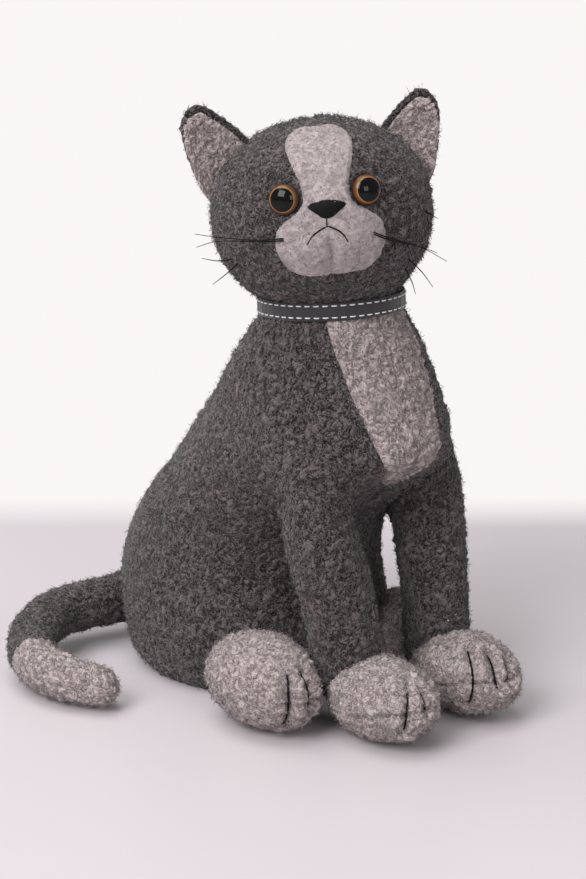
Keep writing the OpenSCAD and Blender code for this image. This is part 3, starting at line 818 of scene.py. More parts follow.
@dataclass
class Tailor:
    """Sews covers: gives a skin its nap, thickness and loose fibres, and puts it on its body."""

    cupboard: Cupboard
    cloth: float = 2.0
    step: int = 4
    density: float = 0.6
    most_fibres: int = 16000
    sink: float = 0.9
    floor: float = 0.25
    fibre_floor: float = 0.1
    seed: int = 100

    def sew(self, name: str, skin: Skin, tone: Tone, ride: Ride, stands_for: str, slot: str,
            nap_share: Array | float = 1.0, dip: Array | float = 0.0, thick: float | None = None,
            hairy: float = 1.0) -> bpy.types.Object:
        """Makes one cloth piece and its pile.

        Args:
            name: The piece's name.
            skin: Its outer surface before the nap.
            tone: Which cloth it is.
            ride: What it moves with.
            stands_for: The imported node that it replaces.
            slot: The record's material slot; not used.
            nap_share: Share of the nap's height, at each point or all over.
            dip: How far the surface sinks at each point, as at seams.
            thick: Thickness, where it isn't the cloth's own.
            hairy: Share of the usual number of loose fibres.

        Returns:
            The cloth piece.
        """
        nap = self.cupboard.nap[tone]
        height = nap.relief(skin.points) * nap_share
        sink = 0.0 if tone is Tone.FELT else self.sink
        outer = skin.raised(height - dip - sink)
        outer.points[..., 2] = np.maximum(outer.points[..., 2], self.floor)
        lining = skin.raised(-(thick or self.cloth) - sink - np.minimum(dip, 1.0))
        lining.points[..., 2] = np.maximum(lining.points[..., 2], self.floor + 0.3)
        points, triangles, quads = cloth_shell(outer, lining, self.step)
        piece = make_piece(name, points, triangles, quads, [self.cupboard.cloth[tone]])
        # the curls' height, stored for the finish, which paints shade into the creases from it
        level = np.zeros(len(points))
        level[: height.size] = (height / nap.height + 0.35).ravel()
        mark(piece, "nap", level)
        ride.fit(piece, stands_for)
        self.fluff(name, outer, tone, ride, hairy)
        return piece

    def fluff(self, name: str, skin: Skin, tone: Tone, ride: Ride, hairy: float) -> None:
        """Scatters loose fibres over a finished skin, as a piece that moves with it."""
        area = skin.cells()[2].sum()
        self.seed += 1
        count = int(min(area * self.density * hairy, self.most_fibres))
        fibres = Pile(2.0, 0.22, 0.02, 0.09) if tone is Tone.FELT else Pile()
        points, triangles, quads, slots = fibres.grow(skin, count, self.seed)
        points[:, 2] = np.maximum(points[:, 2], self.fibre_floor)
        pile = make_piece(f"{name}_pile", points, triangles, quads, self.cupboard.fibres[tone], slots)
        ride.take(pile)

    def fill(self, name: str, skin: Skin, depth: float, ride: Ride, stands_for: str) -> None:
        """Makes the stuffing under a cover that is closed by a pole at both ends."""
        every = 5
        points = skin.raised(-depth).points[::every, ::every]
        rows, columns = points.shape[:2]
        ends = np.stack([points[0].mean(0), points[-1].mean(0)])
        piece = make_piece(name, np.vstack([points.reshape(-1, 3), ends]), end_caps(rows, columns),
                           grid_quads(rows, columns, True), [self.cupboard.stuffing])
        ride.fit(piece, stands_for)

    def stitch(self, name: str, parts: list[tuple[Array, Array, Array]], finish: bpy.types.Material,
               ride: Ride, stands_for: str) -> bpy.types.Object:
        """Makes one piece of several threads, with a UV map of place along them for their twist."""
        points, triangles, quads = together(parts)
        piece = make_piece(name, points, triangles, quads, [finish])
        order = np.arange(len(points))
        mark_uv(piece, np.stack([(order // 8) * 0.25, (order % 8) / 8], 1))
        ride.fit(piece, stands_for)
        return piece


# ---------------------------------------------------------------- body, legs, paws and tail


@dataclass
class Torso:
    """Body of the cat: two dark side covers, two light bib panels and a flat base."""

    rings: Array = field(default_factory=lambda: np.array([
        [0, 0, 61.5, 61.5], [10, 3, 68, 70], [35, 6, 70, 72.5], [60, 7, 67.5, 70], [88, -4, 64, 66],
        [112, -26, 60.4, 67.6], [134, -48, 58.6, 73.6], [156, -55, 55, 61.5], [180, -56, 47, 49],
        [199, -57, 37, 37], [204, -57, 35.6, 35.6]], float))
    bib_edge: tuple = ((5.3, 1.2), (5.36, 5.5), (5.5, 9.5), (5.8, 14.5), (6.4, 21.5), (7, 25.5),
                       (7.5, 30.5), (8, 35), (8.5, 40.5), (9, 44.5))
    bib_low: float = 5.3
    neck_y: float = -57.0
    neck_way: float = 7.0
    collar_rise: float = 5.0
    tip_from: float = 160.0
    tip_over: float = 39.0
    legs_low: float = 45.0
    legs_high: float = 150.0
    legs_front: float = -10.0
    rows: int = 240
    columns: int = 216

    def __post_init__(self) -> None:
        """Lists heights against places up the body."""
        self.top = len(self.rings) - 1
        self.places = np.linspace(0, self.top, 400)
        self.heights = along(self.rings, self.places)[:, 0]

    def point(self, place: Array, degrees: Array) -> Array:
        """Point at a place up the body and an angle round it.

        Each ring is an ellipse; above the shoulders its plane tips up with the collar.
        """
        g = along(self.rings, place)
        a = np.radians(degrees)
        x, y = g[..., 2] * np.sin(a), g[..., 1] - g[..., 3] * np.cos(a)
        way = math.radians(self.neck_way)
        slope = math.tan(math.radians(self.collar_rise))
        rise = (-x * math.sin(way) - (y - self.neck_y) * math.cos(way)) * slope
        return np.stack([x, y, g[..., 0] + soft_step((g[..., 0] - self.tip_from) / self.tip_over) * rise], -1)

    def away(self, points: Array) -> Array:
        """Field that is nought on the body's side: how far past the ellipse at that height."""
        g = along(self.rings, np.interp(points[..., 2], self.heights, self.places))
        reach = np.hypot(points[..., 0] / g[..., 2], (points[..., 1] - g[..., 1]) / g[..., 3])
        return (reach - 1) * np.sqrt(g[..., 2] * g[..., 3])

    def wall(self, points: Array, way: int, inside: float) -> Array:
        """Y of the body's front (way -1) or back (way 1) at points, a little inside it."""
        g = along(self.rings, np.interp(points[..., 2], self.heights, self.places))
        q = np.abs(points[..., 0]) / g[..., 2]
        y = g[..., 1] + way * (g[..., 3] - inside) * np.sqrt(np.clip(1 - q * q, 0, 1))
        return np.where(q < 1, y, -way * 500.0)

    def sew(self, tailor: Tailor, legs: list["Foreleg"]) -> None:
        """Sews the side covers and the bib panels."""
        ride = Ride("torso")
        places = even_places(self.rings, 0, self.top, self.rows + 1)
        edge = np.where(places < self.bib_low, 0.2, eased(self.bib_edge, places) + 0.2)
        share = np.linspace(0, 1, self.columns + 1)
        tables = np.array(self.bib_edge)
        for side in Side:
            start, end = (edge, 180.0) if side is Side.LEFT else (-180.0, -edge)
            angle = start + (end - start) * share[:, None]
            angle = np.broadcast_to(angle, (self.columns + 1, self.rows + 1)).T
            grid = self.point(np.broadcast_to(places[:, None], angle.shape), angle)
            near = (grid[..., 2] > self.legs_low) & (grid[..., 2] < self.legs_high)
            near &= grid[..., 1] < self.legs_front
            for leg in legs:
                if leg.side is side:
                    grid[near] = merged(grid[near], self.away, leg.away, leg.fillet)
            skin = Skin(grid)
            dip = skin.edge_depth(0.9, 1.6, "lr")
            tailor.sew(f"body_wool_{side.word}", skin, Tone.DARK, ride, f"body_cover_{side.word}",
                       "dark_wool", dip=dip)
            rows = even_places(self.rings, self.bib_low, self.top, 101)
            outer_edge = eased(tables, rows)[:, None]
            columns = np.linspace(0, 1, 37)[None]
            angle = outer_edge * (columns if side is Side.LEFT else columns - 1)
            skin = Skin(self.point(np.broadcast_to(rows[:, None], angle.shape), angle))
            dip = skin.edge_depth(0.8, 1.6, "lr")
            tailor.sew(f"bib_wool_{side.word}", skin, Tone.LIGHT, ride, f"chest_bib_{side.word}",
                       "light_wool", dip=dip)


@dataclass
class Paw:
    """A light paw: a closed rounded form with toe stitches drawn into it."""

    side: Side
    centre: Point
    radii: Point
    lines: tuple[tuple[tuple[float, float], ...], ...]
    seam: tuple[tuple[float, float], ...]
    room: Callable[[Array], Array] | None = None
    flat: float = 0.9
    filling_depth: float = 6.5
    thread_sink: float = 2.2
    thread_radius: float = 0.5

    def surface(self, across: Array, up: Array, lift: Array | float = 0.0) -> Array:
        """Point of the paw at an angle across its front and an angle up it, in degrees."""
        a, b = np.radians(across), np.radians(up)
        way = np.stack([np.cos(b) * np.sin(a), -np.cos(b) * np.cos(a), np.sin(b)], -1)
        return self.settle(np.array(self.centre) + way * (np.array(self.radii) + np.asarray(lift)[..., None]))

    def settle(self, points: Array) -> Array:
        """Presses points onto the floor and makes room for neighbours.

        The height is the smooth maximum of itself and the flat, by the logarithm of a sum of powers.
        """
        soft = 1.3
        points = points.copy()
        points[..., 2] = soft * np.log(np.exp(points[..., 2] / soft) + math.exp(self.flat / soft))
        return self.room(points) if self.room else points

    def path(self, spots: tuple[tuple[float, float], ...], lift: float, count: int = 26) -> Array:
        """A smooth line over the paw through spots of across and up."""
        line = along(np.array(spots), np.linspace(0, len(spots) - 1, count))
        return self.surface(line[:, 0], line[:, 1], lift)

    def sew(self, tailor: Tailor, name: str, ride: Ride) -> None:
        """Sews the paw cover and lays its toe stitches in their grooves."""
        swing = np.radians(np.linspace(88, -88, 85))[:, None]
        k = np.radians(np.arange(0, 360, 3.0))[None]
        way = np.stack([np.cos(swing) * np.sin(k), -np.sin(swing) + 0 * k, np.cos(swing) * np.cos(k)], -1)
        grid = self.settle(np.array(self.centre) + way * np.array(self.radii))
        skin = Skin(grid, closed=True, poles=(True, True))
        dip = np.zeros(grid.shape[:2])
        for line in self.lines:
            near = near_path(grid, self.path(line, 0))
            dip += 3.0 * np.exp(-((near / 2.0) ** 2)) - 1.2 * np.exp(-(((near - 5.5) / 3.0) ** 2))
        near = near_path(grid, self.path(self.seam, 0, 60))
        dip += 1.8 * np.exp(-((near / 1.3) ** 2))
        cover = tailor.sew(f"{name}_wool_{self.side.word}", skin, Tone.LIGHT, ride,
                           f"{name}_cover_{self.side.word}", "light_wool", dip=dip)
        tailor.fill(f"{name}_fill_{self.side.word}", skin, self.filling_depth, ride,
                    f"{name}_stuffing_{self.side.word}")
        threads = [thread(self.path(line, -self.thread_sink), self.thread_radius, 8, 0.15)
                   for line in self.lines]
        tailor.stitch(f"{name}_thread_{self.side.word}", threads, tailor.cupboard.black_thread, ride,
                      f"{name}_stitches_{self.side.word}")


@dataclass
class Foreleg:
    """A dark foreleg that grows out of the chest and stands on its light paw."""

    side: Side
    path: Array = field(default_factory=lambda: np.array([
        [-36, -82, 134], [-38, -90, 120], [-37.5, -91, 105], [-35, -94, 88], [-32, -101, 62],
        [-30, -107, 34]], float))
    radii: Array = field(default_factory=lambda: np.array([
        [5, 4], [14, 12.5], [17.5, 17.5], [19.5, 20], [18.8, 19], [17.5, 17.5]], float))
    paw_centre: Point = (-29.0, -130.0, 21.0)
    paw_radii: Point = (23.1, 33.6, 20.8)
    fillet: float = 15.0
    join_from: float = 45.0
    cuff: float = 19.0

    def __post_init__(self) -> None:
        """Mirrors the leg to its side, and lists its heights against its places."""
        flip = -self.side.value
        self.line = self.path * (flip, 1, 1)
        self.centre = (self.paw_centre[0] * flip, *self.paw_centre[1:])
        if self.side is Side.LEFT:
            self.radii = self.radii - np.array([[0.0], [0.0], [0.6], [1.2], [1.3], [1.0]])
            self.fillet = 19.0
            self.paw_radii = (22.4, 33.5, 20.8)
            self.centre = (28.2, -130.0, 21.0)
        self.places = np.linspace(len(self.path) - 1, 0, 200)
        self.heights = along(self.path, self.places)[:, 2]

    def away(self, points: Array) -> Array:
        """Field that is nought on the leg's side: how far past the ellipse at that height."""
        place = np.interp(points[..., 2], self.heights, self.places)
        c, r = along(self.line, place), along(self.radii, place)
        reach = np.hypot((points[..., 0] - c[..., 0]) / r[..., 0], (points[..., 1] - c[..., 1]) / r[..., 1])
        return (reach - 1) * np.sqrt(r[..., 0] * r[..., 1])

    def over_paw(self, points: Array) -> Array:
        """Height of the paw's upper side at points."""
        c, r = self.centre, self.paw_radii
        q = ((points[..., 0] - c[0]) / r[0]) ** 2 + ((points[..., 1] - c[1]) / r[1]) ** 2
        return np.where(q < 1, c[2] + r[2] * np.sqrt(np.clip(1 - q, 0, 1)), 0.0)

    def sew(self, tailor: Tailor, torso: Torso) -> None:
        """Sews the leg cover and the paw under it."""
        body = f"foreleg_{self.side.word}"
        knee, last = len(self.path) - 2, len(self.path) - 1
        place = even_places(self.line, last, 0.25, 105)[:, None]
        a = np.radians(np.arange(0, 360, 3.0))[None]
        c, r = along(self.line, place), along(self.radii, place)
        x = c[..., 0] + r[..., 0] * np.sin(a)
        y = c[..., 1] - r[..., 1] * np.cos(a)
        grid = np.stack([x, y, c[..., 2] + 0 * a], -1)
        low = np.maximum(self.over_paw(grid) - 2.0, self.cuff)
        shin = self.line[knee][2] + (low - self.line[knee][2]) * (place - knee)
        grid[..., 2] = np.where(place > knee, shin, grid[..., 2])
        near = grid[..., 2] > self.join_from
        grid[near] = merged(grid[near], self.away, torso.away, self.fillet)
        skin = Skin(grid, closed=True, poles=(False, True))
        dip = skin.edge_depth(0.8, 1.8, "b")
        ride = Ride("torso", body, (self.side.value * 38.5, -93, 123), (self.side.value * 36, -94, 93))
        cover = tailor.sew(f"foreleg_wool_{self.side.word}", skin, Tone.DARK, ride,
                           f"foreleg_cover_{self.side.word}", "dark_wool", dip=dip)
        right = self.side is Side.RIGHT
        lines = (((-12, 48), (-24, 14), (-27, -18)), ((6, 42), (2, 10)), ((30, 36), (27, 6)))
        seam = ((-86, -14), (-48, 2), (-12, 10), (20, 8))
        if not right:
            lines = (((-52, 56), (-48, 30), (-48, 0), (-51, -24)), ((-15, 52), (-20, 22), (-19, 4)),
                     ((10, 40), (-2, 14)))
            seam = ((-86, -6), (-50, 9), (-15, 14), (20, 12))
        Paw(self.side, self.centre, self.paw_radii, lines, seam).sew(tailor, "forepaw", Ride(body))


@dataclass
class HindPaw:
    """A light hind paw, pressed between the body and the foreleg beside it."""

    side: Side
    centre: Point
    radii: Point
    gap: float = 1.6
    leg_radius: float = 19.0

    def sew(self, tailor: Tailor, torso: Torso, leg: Foreleg) -> None:
        """Sews the paw so that its skin gives way to the leg, the forepaw and the body."""
        s = self.side.value

        def room(points: Array) -> Array:
            """Points moved out past the leg and forepaw, and held in front of the body."""
            line = along(leg.line, np.interp(points[..., 2], leg.heights, leg.places))
            reach = self.leg_radius + self.gap
            beside = np.clip(reach**2 - (points[..., 1] - line[..., 1]) ** 2, 0, None)
            by_leg = np.where(beside > 0, np.abs(line[..., 0]) + np.sqrt(beside), 0)
            c, r = leg.centre, np.array(leg.paw_radii) + self.gap
            q = ((points[..., 1] - c[1]) / r[1]) ** 2 + ((points[..., 2] - c[2]) / r[2]) ** 2
            by_paw = np.where(q < 1, abs(c[0]) + r[0] * np.sqrt(np.clip(1 - q, 0, 1)), 0)
            points[..., 0] = s * np.maximum(s * points[..., 0], np.maximum(by_leg, by_paw))
            points[..., 1] = np.minimum(points[..., 1], torso.wall(points, -1, 3.0))
            return points

        if self.side is Side.RIGHT:
            lines = (((-22, 34), (-25, 8), (-25, -20), (-24, -40)), ((-1, 35), (1, 8), (1, -24)))
        else:
            lines = (((22, 34), (25, 8), (25, -20), (24, -40)), ((1, 35), (-1, 8), (-1, -24)))
        seam = ((-32, -4), (0, -4), (34, -4))
        body = f"hindpaw_{self.side.word}"
        x = self.centre[0] - s * 10
        heel = self.centre[1] + self.radii[1]
        ride = Ride("torso", body, (x, heel + 2, 25), (x, heel - 18, 25))
        Paw(self.side, self.centre, self.radii, lines, seam, room).sew(tailor, "hindpaw", ride)


@dataclass
class Tail:
    """The tail: a dark tube in two covers and a light tip, laid along the cat's right side."""

    path: Array = field(default_factory=lambda: np.array([
        [-22, 66, 28], [-46, 69, 23], [-78, 76, 20.5], [-104, 63, 18], [-122, 38, 15.5],
        [-124, 11, 14], [-115, -10, 12.5]], float))
    radius: float = 14.0
    share: tuple[float, ...] = (1, 0.97, 0.93, 0.91, 0.88, 0.85, 0.74)
    tip_at: float = 4.0
    bend_at: float = 2.0

    def grid(self, places: Array, torso: Torso, count: int = 84) -> Array:
        """Rings square to the middle line, held just outside the body's back.

        Args:
            places: Places along the tail.
            torso: The body that it leaves.
            count: Points in each ring.

        Returns:
            The grid of points.
        """
        c = along(self.path, places)
        ahead = unit(along(self.path, places + 0.05) - along(self.path, places - 0.05))
        over = unit(np.cross(ahead, (0.0, 0.0, 1.0)))
        aside = np.cross(over, ahead)
        k = np.arange(count) * 2 * np.pi / count
        r = self.radius * along(np.array(self.share)[:, None], places)
        points = c[:, None] + r[:, None] * (over[:, None] * np.cos(k)[None, :, None]
                                            - aside[:, None] * np.sin(k)[None, :, None])
        points[..., 1] = np.maximum(points[..., 1], torso.wall(points, 1, 2.0))
        return points

    def sew(self, tailor: Tailor, torso: Torso) -> None:
        """Sews the three covers end to end."""
        root = Ride("torso", "tail_base", (-16, 60, 28), (-38, 70, 25))
        bend = Ride("tail_base", "tail_end", (-74, 76, 20), (-98, 68, 18))
        stretches = (("tail_root", 0.0, self.bend_at, 57, root, 0.0),
                     ("tail_bend", self.bend_at, self.tip_at, 69, bend, 0.5))
        for name, low, high, rows, ride, seam in stretches:
            skin = Skin(self.grid(even_places(self.path, low, high, rows), torso), closed=True)
            cover = tailor.sew(f"{name}_wool", skin, Tone.DARK, ride, f"{name}_cover", "dark_wool",
                               dip=skin.edge_depth(seam, 1.5, "t"))
        last = len(self.path) - 1
        tube = self.grid(even_places(self.path, self.tip_at, last, 49), torso)
        swing = np.radians(np.linspace(6, 88, 16))[:, None, None]
        ring, middle = tube[-1][None], tube[-1].mean(0)
        ahead = unit(self.path[-1] - self.path[-2])
        cap = middle + (ring - middle) * np.cos(swing) + ahead * (self.radius * 0.8) * np.sin(swing)
        skin = Skin(np.vstack([tube, cap]), closed=True, poles=(False, True))
        dip = skin.edge_depth(0.8, 1.6, "b")
        seam = near_path(skin.points, skin.points[:, 61])
        dip = dip + 0.9 * np.exp(-((seam / 1.5) ** 2))
        cover = tailor.sew("tail_tip_wool", skin, Tone.LIGHT, Ride("tail_end"), "tail_tip_cover",
                           "light_wool", dip=dip)


# ---------------------------------------------------------------- head


@dataclass
class Head:
    """The head: two dark covers, felt face, embroidered nose and mouth, eyes, whiskers and ears."""

    seat: Seat = field(default_factory=lambda: Seat((-9.3, -59.7, 255.0), turn("z", -35.5) @ turn("y", -6)))
    neck: Seat = field(default_factory=lambda: Seat(
        (0.0, -57.0, 204.0), turn("z", -7) @ turn("x", -5) @ turn("z", 7)))
    turned: float = 35.5
    rim_radius: float = 32.7
    rim_height: float = 3.5
    rings: Array = field(default_factory=lambda: np.array([
        [-37, 0.5, 5.5, 42.6, 40.6], [-30.5, 0.4, 4, 47.3, 44.2], [-24, 0.3, 2.5, 51, 47],
        [-12, 0, 0.5, 54.3, 49.6], [0, 0, 0, 55, 50], [12, 0, 0, 53, 48.2], [24, 0, 0, 45.8, 41.8],
        [33, 0, 0, 35.8, 32.8], [39.5, 0, 0, 24.5, 22.3], [43, 0, 0, 12, 11], [44, 0, 0, 0.1, 0.1]], float))
    face_edge: tuple = ((2.9, 10), (3.05, 18), (3.3, 23), (3.8, 27), (4.6, 28), (5.15, 24.5), (5.35, 21),
                        (5.6, 16), (5.8, 13.6), (6.4, 13), (7, 16.5), (7.8, 24), (8.5, 31),
                        (9.1, 33), (9.45, 28), (9.62, 16))
    eye_spot: Point = (20.0, -44.0, 14.0)
    left_eye_in: float = 1.0
    eye_radius: float = 7.5
    felt_lift: float = 1.2

    def surface(self, place: Array, degrees: Array) -> Array:
        """Point on the head at a place up it and an angle round it, before its features.

        The first ring is the rim inside the collar, and the rest are ellipses of the head's own frame.
        """
        place, degrees = np.broadcast_arrays(place, degrees)
        a = np.radians(degrees)
        turned = turn("z", -self.turned)
        rim = np.stack([self.rim_radius * np.sin(a), -self.rim_radius * np.cos(a),
                        self.rim_height + 0 * a], -1)
        rim = np.concatenate([rim[..., :2] @ turned[:2, :2].T, rim[..., 2:]], -1)
        stops = [self.seat.back(self.neck.out(rim))]
        for z, cx, cy, wide, deep in self.rings:
            stops.append(np.stack([cx + wide * np.sin(a), cy - deep * np.cos(a), z + 0 * a], -1))
        last = len(stops) - 1
        held = np.clip(place, 0, last - 1e-6)
        low = held.astype(int)
        t = (held - low)[..., None]
        all_stops = np.stack([2 * stops[0] - stops[1], *stops, 2 * stops[-1] - stops[-2]])
        near = (np.take_along_axis(all_stops, (low + k)[None, ..., None], 0)[0] for k in range(4))
        return spline(*near, t)

    def features(self, p: Array) -> Array:
        """How far the muzzle, cheeks, brow and eye hollows stand out at points of the head's frame.

        Each is a bell curve of the distance from its middle, in its own widths.
        """
        def bell(x: float, y: float, z: float, wx: float, wy: float, wz: float) -> Array:
            """Bell curve round a point."""
            d = ((p[..., 0] - x) / wx) ** 2 + ((p[..., 1] - y) / wy) ** 2 + ((p[..., 2] - z) / wz) ** 2
            return np.exp(-d)

        out = 2.6 * bell(0, -50, -6, 19, 16, 15)
        for s in (-1, 1):
            out += 1.8 * bell(s * 9.5, -49, -9, 8.5, 14, 8.0)
            out += 1.2 * bell(s * 36, -32, -12, 18, 20, 16)
            out -= 2.2 * bell(s * self.eye_spot[0], self.eye_spot[1], self.eye_spot[2], 9.5, 12, 9.5)
            out += 1.3 * bell(s * 21, -36, 30, 14, 14, 9)
        out += 1.3 * bell(0, -50, 9, 10, 12, 9)
        out -= 3.0 * bell(-0.6, -50, -11.5, 1.7, 14, 7.0)
        out -= 1.1 * bell(-1.0, -50, -24, 2.2, 14, 7.0)
        return out

    def shaped(self, place: Array, degrees: Array, lift: Array | float = 0.0) -> Skin:
        """The head's skin with its features, raised by a lift, in the head's frame."""
        skin = Skin(self.surface(place, degrees))
        return skin.raised(self.features(skin.points) + lift)

    def front(self, x: Array, z: Array, lift: float) -> Array:
        """Points on the felt face at places across and up it, in the head's frame.

        The skin is searched as a fine grid in front, and read back at the nearest x and z.
        """
        place, angle = np.meshgrid(np.linspace(2.6, 8.0, 260), np.linspace(-40, 40, 240), indexing="ij")
        grid = self.shaped(place, angle, self.felt_lift + lift).points.reshape(-1, 3)
        spots = np.stack([np.asarray(x, float).ravel(), np.asarray(z, float).ravel()], 1)
        found = np.empty(len(spots))
        for k, (sx, sz) in enumerate(spots):
            d = (grid[:, 0] - sx) ** 2 + (grid[:, 2] - sz) ** 2
            near = np.argpartition(d, 4)[:4]
            weight = 1 / (d[near] + 1e-3)
            found[k] = (grid[near, 1] * weight).sum() / weight.sum()
        return np.stack([spots[:, 0], found, spots[:, 1]], -1).reshape(*np.shape(x), 3)

    def in_patch(self, place: Array, degrees: Array) -> Array:
        """1 well inside the felt face and 0 outside it."""
        wide = eased(self.face_edge, place)
        inside = soft_step((wide - np.abs(degrees)) / 3.0 + 0.2)
        return inside * (place > self.face_edge[0][0] + 0.05) * (place < self.face_edge[-1][0] - 0.05)

    def sew(self, tailor: Tailor) -> None:
        """Sews the covers and puts every feature on them."""
        up = self.neck.matrix @ np.array((0.0, 0.0, 1.0))
        low = np.array(self.neck.centre) + up * 4
        ride = Ride("neck", "head", tuple(low), tuple(low + up * 24))
        stations = np.vstack([[-50.0, 0, 0, 33, 33], self.rings])
        places = even_places(stations, 0, len(self.rings) - 0.02, 157)[:, None]
        for side in Side:
            ends = (0.0, 180.0) if side is Side.LEFT else (-180.0, 0.0)
            angles = np.linspace(*ends, 165)[None]
            skin = self.shaped(places, angles)
            patch = self.in_patch(*np.broadcast_arrays(places, angles))
            seam = skin.edge_depth(0.8, 1.5, "lr")
            x, y, z = self.eye_spot
            near_eye = near_path(skin.points, np.array([[side.value * x, y, z]]))
            bare = soft_step((near_eye - self.eye_radius + 0.5) / 2.0)
            skin = Skin(self.seat.out(skin.points))
            tailor.sew(f"head_wool_{side.word}", skin, Tone.DARK, ride, f"head_cover_{side.word}",
                       "dark_wool", nap_share=(1 - patch) * bare, dip=seam + 0.5 * patch)
        self.sew_face(tailor)
        self.sew_nose(tailor)
        self.sew_mouth(tailor)
        for side in Side:
            self.set_eye(tailor, side)
            self.set_whiskers(tailor, side)
            Ear(side, self).sew(tailor)

    def sew_face(self, tailor: Tailor) -> None:
        """Lays the felt face over the covers, its edges drawn down by hidden stitches."""
        keys = np.linspace(0, 1, 129)
        low, high = self.face_edge[0][0], self.face_edge[-1][0]
        places = (low + (high - low) * keys)[:, None]
        wide = eased(self.face_edge, places)
        angles = wide * np.linspace(-1, 1, 49)[None]
        base = Skin(self.surface(places, angles))
        edge = base.edge_depth(1.0, 1.3, "lrbt")
        skin = base.raised(self.features(base.points) + self.felt_lift * (1 - edge))
        skin = Skin(self.seat.out(skin.points))
        piece = tailor.sew("face_felt", skin, Tone.FELT, Ride("head"), "face_patch", "felt", thick=1.1,
                           hairy=0.9)

    def sew_nose(self, tailor: Tailor) -> None:
        """The nose: satin stitches side by side over a padded triangle.

        A polar grid fills the outline; its height is a flattened dome, with ridges across it.
        """
        outline = np.array([[0.6, 4.3], [-2.6, 4.6], [-6.2, 7.2], [-9.3, 9.8], [-8.2, 11.4], [-4.2, 12.4],
                            [0.2, 12.9], [4.6, 12.2], [8.4, 10.8], [9.2, 9.3], [5.6, 6.9], [2.6, 5.0],
                            [0.6, 4.3]], float) + (-0.6, 0.0)
        middle = np.array((-0.6, 9.0))
        edge = along(outline, np.linspace(0, len(outline) - 1, 97)[:-1])
        share = np.linspace(1, 0.04, 15)[:, None, None]
        flat = middle + (edge - middle)[None] * share
        dome = np.sqrt(np.clip(1 - share[..., 0] ** 2.4, 0, 1)) * 1.7
        ridges = 0.14 * np.cos(flat[..., 0] * 2 * np.pi / 0.85)
        spots = self.front(flat[..., 0], flat[..., 1], 0.0)
        grid = spots.copy()
        grid[..., 1] -= dome + ridges * (dome > 0.4)
        skin = Skin(self.seat.out(grid[:, ::-1]), closed=True, poles=(False, True))
        under = spots.copy()
        under[..., 1] += 0.8
        lining = Skin(self.seat.out(under[:, ::-1]), closed=True, poles=(False, True))
        points, triangles, quads = cloth_shell(skin, lining, 1)
        piece = make_piece("nose_satin", points, triangles, quads, [tailor.cupboard.black_thread])
        flat_uv = self.seat.back(points)[:, [0, 2]] * 0.3
        mark_uv(piece, flat_uv)
        Ride("head").fit(piece, "nose")

    def sew_mouth(self, tailor: Tailor) -> None:
        """The mouth: a stem under the nose and two curved stitches, with a faint chin stitch."""
        lines = ([(-1.5, 4.8), (-1.6, 2.4), (-1.7, 0.2)],
                 [(-1.9, 0.6), (-5.2, -0.9), (-9.3, -3.6), (-11.8, -7.0)],
                 [(-1.5, 0.6), (1.6, -0.8), (5.2, -3.6), (7.6, -8.0)])
        threads = []
        for line in lines:
            flat = along(np.array(line), np.linspace(0, len(line) - 1, 22))
            path = self.front(flat[:, 0], flat[:, 1], 0.15)
            radius = 0.42 * np.sin(np.linspace(0.5, np.pi - 0.35, 22)) ** 0.5
            threads.append(thread(self.seat.out(path), radius, 8, 0.12))
        tailor.stitch("mouth_thread", threads, tailor.cupboard.black_thread, Ride("head"),
                      "mouth_stitches")

    def set_eye(self, tailor: Tailor, side: Side) -> None:
        """Sets a glossy bead: a flange, a dome of circle arc and a shank, turned about its axis."""
        s = side.value
        x = s * self.eye_spot[0] - (self.left_eye_in if side is Side.LEFT else 0.0)
        seat = Seat((x, *self.eye_spot[1:]), turn("z", s * 21) @ turn("x", 82))
        t = np.linspace(0.04, np.pi / 2, 26)
        dome = np.stack([self.eye_radius * np.sin(t), 0.7 + 5.0 * np.cos(t)], 1)
        skirt = np.array([[7.5, 0.2], [7.2, -0.2], [1.8, -0.4], [1.8, -5.0], [1.7, -9.4], [0.1, -9.5]])
        profile = np.vstack([dome, skirt])
        k = np.linspace(0, 2 * np.pi, 73)[:-1]
        grid = np.stack([profile[:, :1] * np.cos(k), profile[:, :1] * np.sin(k),
                         profile[:, 1:] + 0 * k[None]], -1)
        rows, columns = grid.shape[:2]
        top = np.stack([(0.0, 0.0, 5.7), (0.0, 0.0, -9.5)])
        points = self.seat.out(seat.out(np.vstack([grid.reshape(-1, 3), top])))
        piece = make_piece(f"eye_bead_{side.word}", points, end_caps(rows, columns)[:, [1, 0, 2]],
                           grid_quads(rows, columns, True)[:, ::-1], [tailor.cupboard.eye])
        share = np.concatenate([np.repeat(profile[:, 0] / self.eye_radius, columns), [0, 0]])
        share[len(dome) * columns:] = 1.0
        mark_uv(piece, np.stack([np.zeros(len(share)), share], 1))
        Ride("head").fit(piece, f"eye_{side.word}")

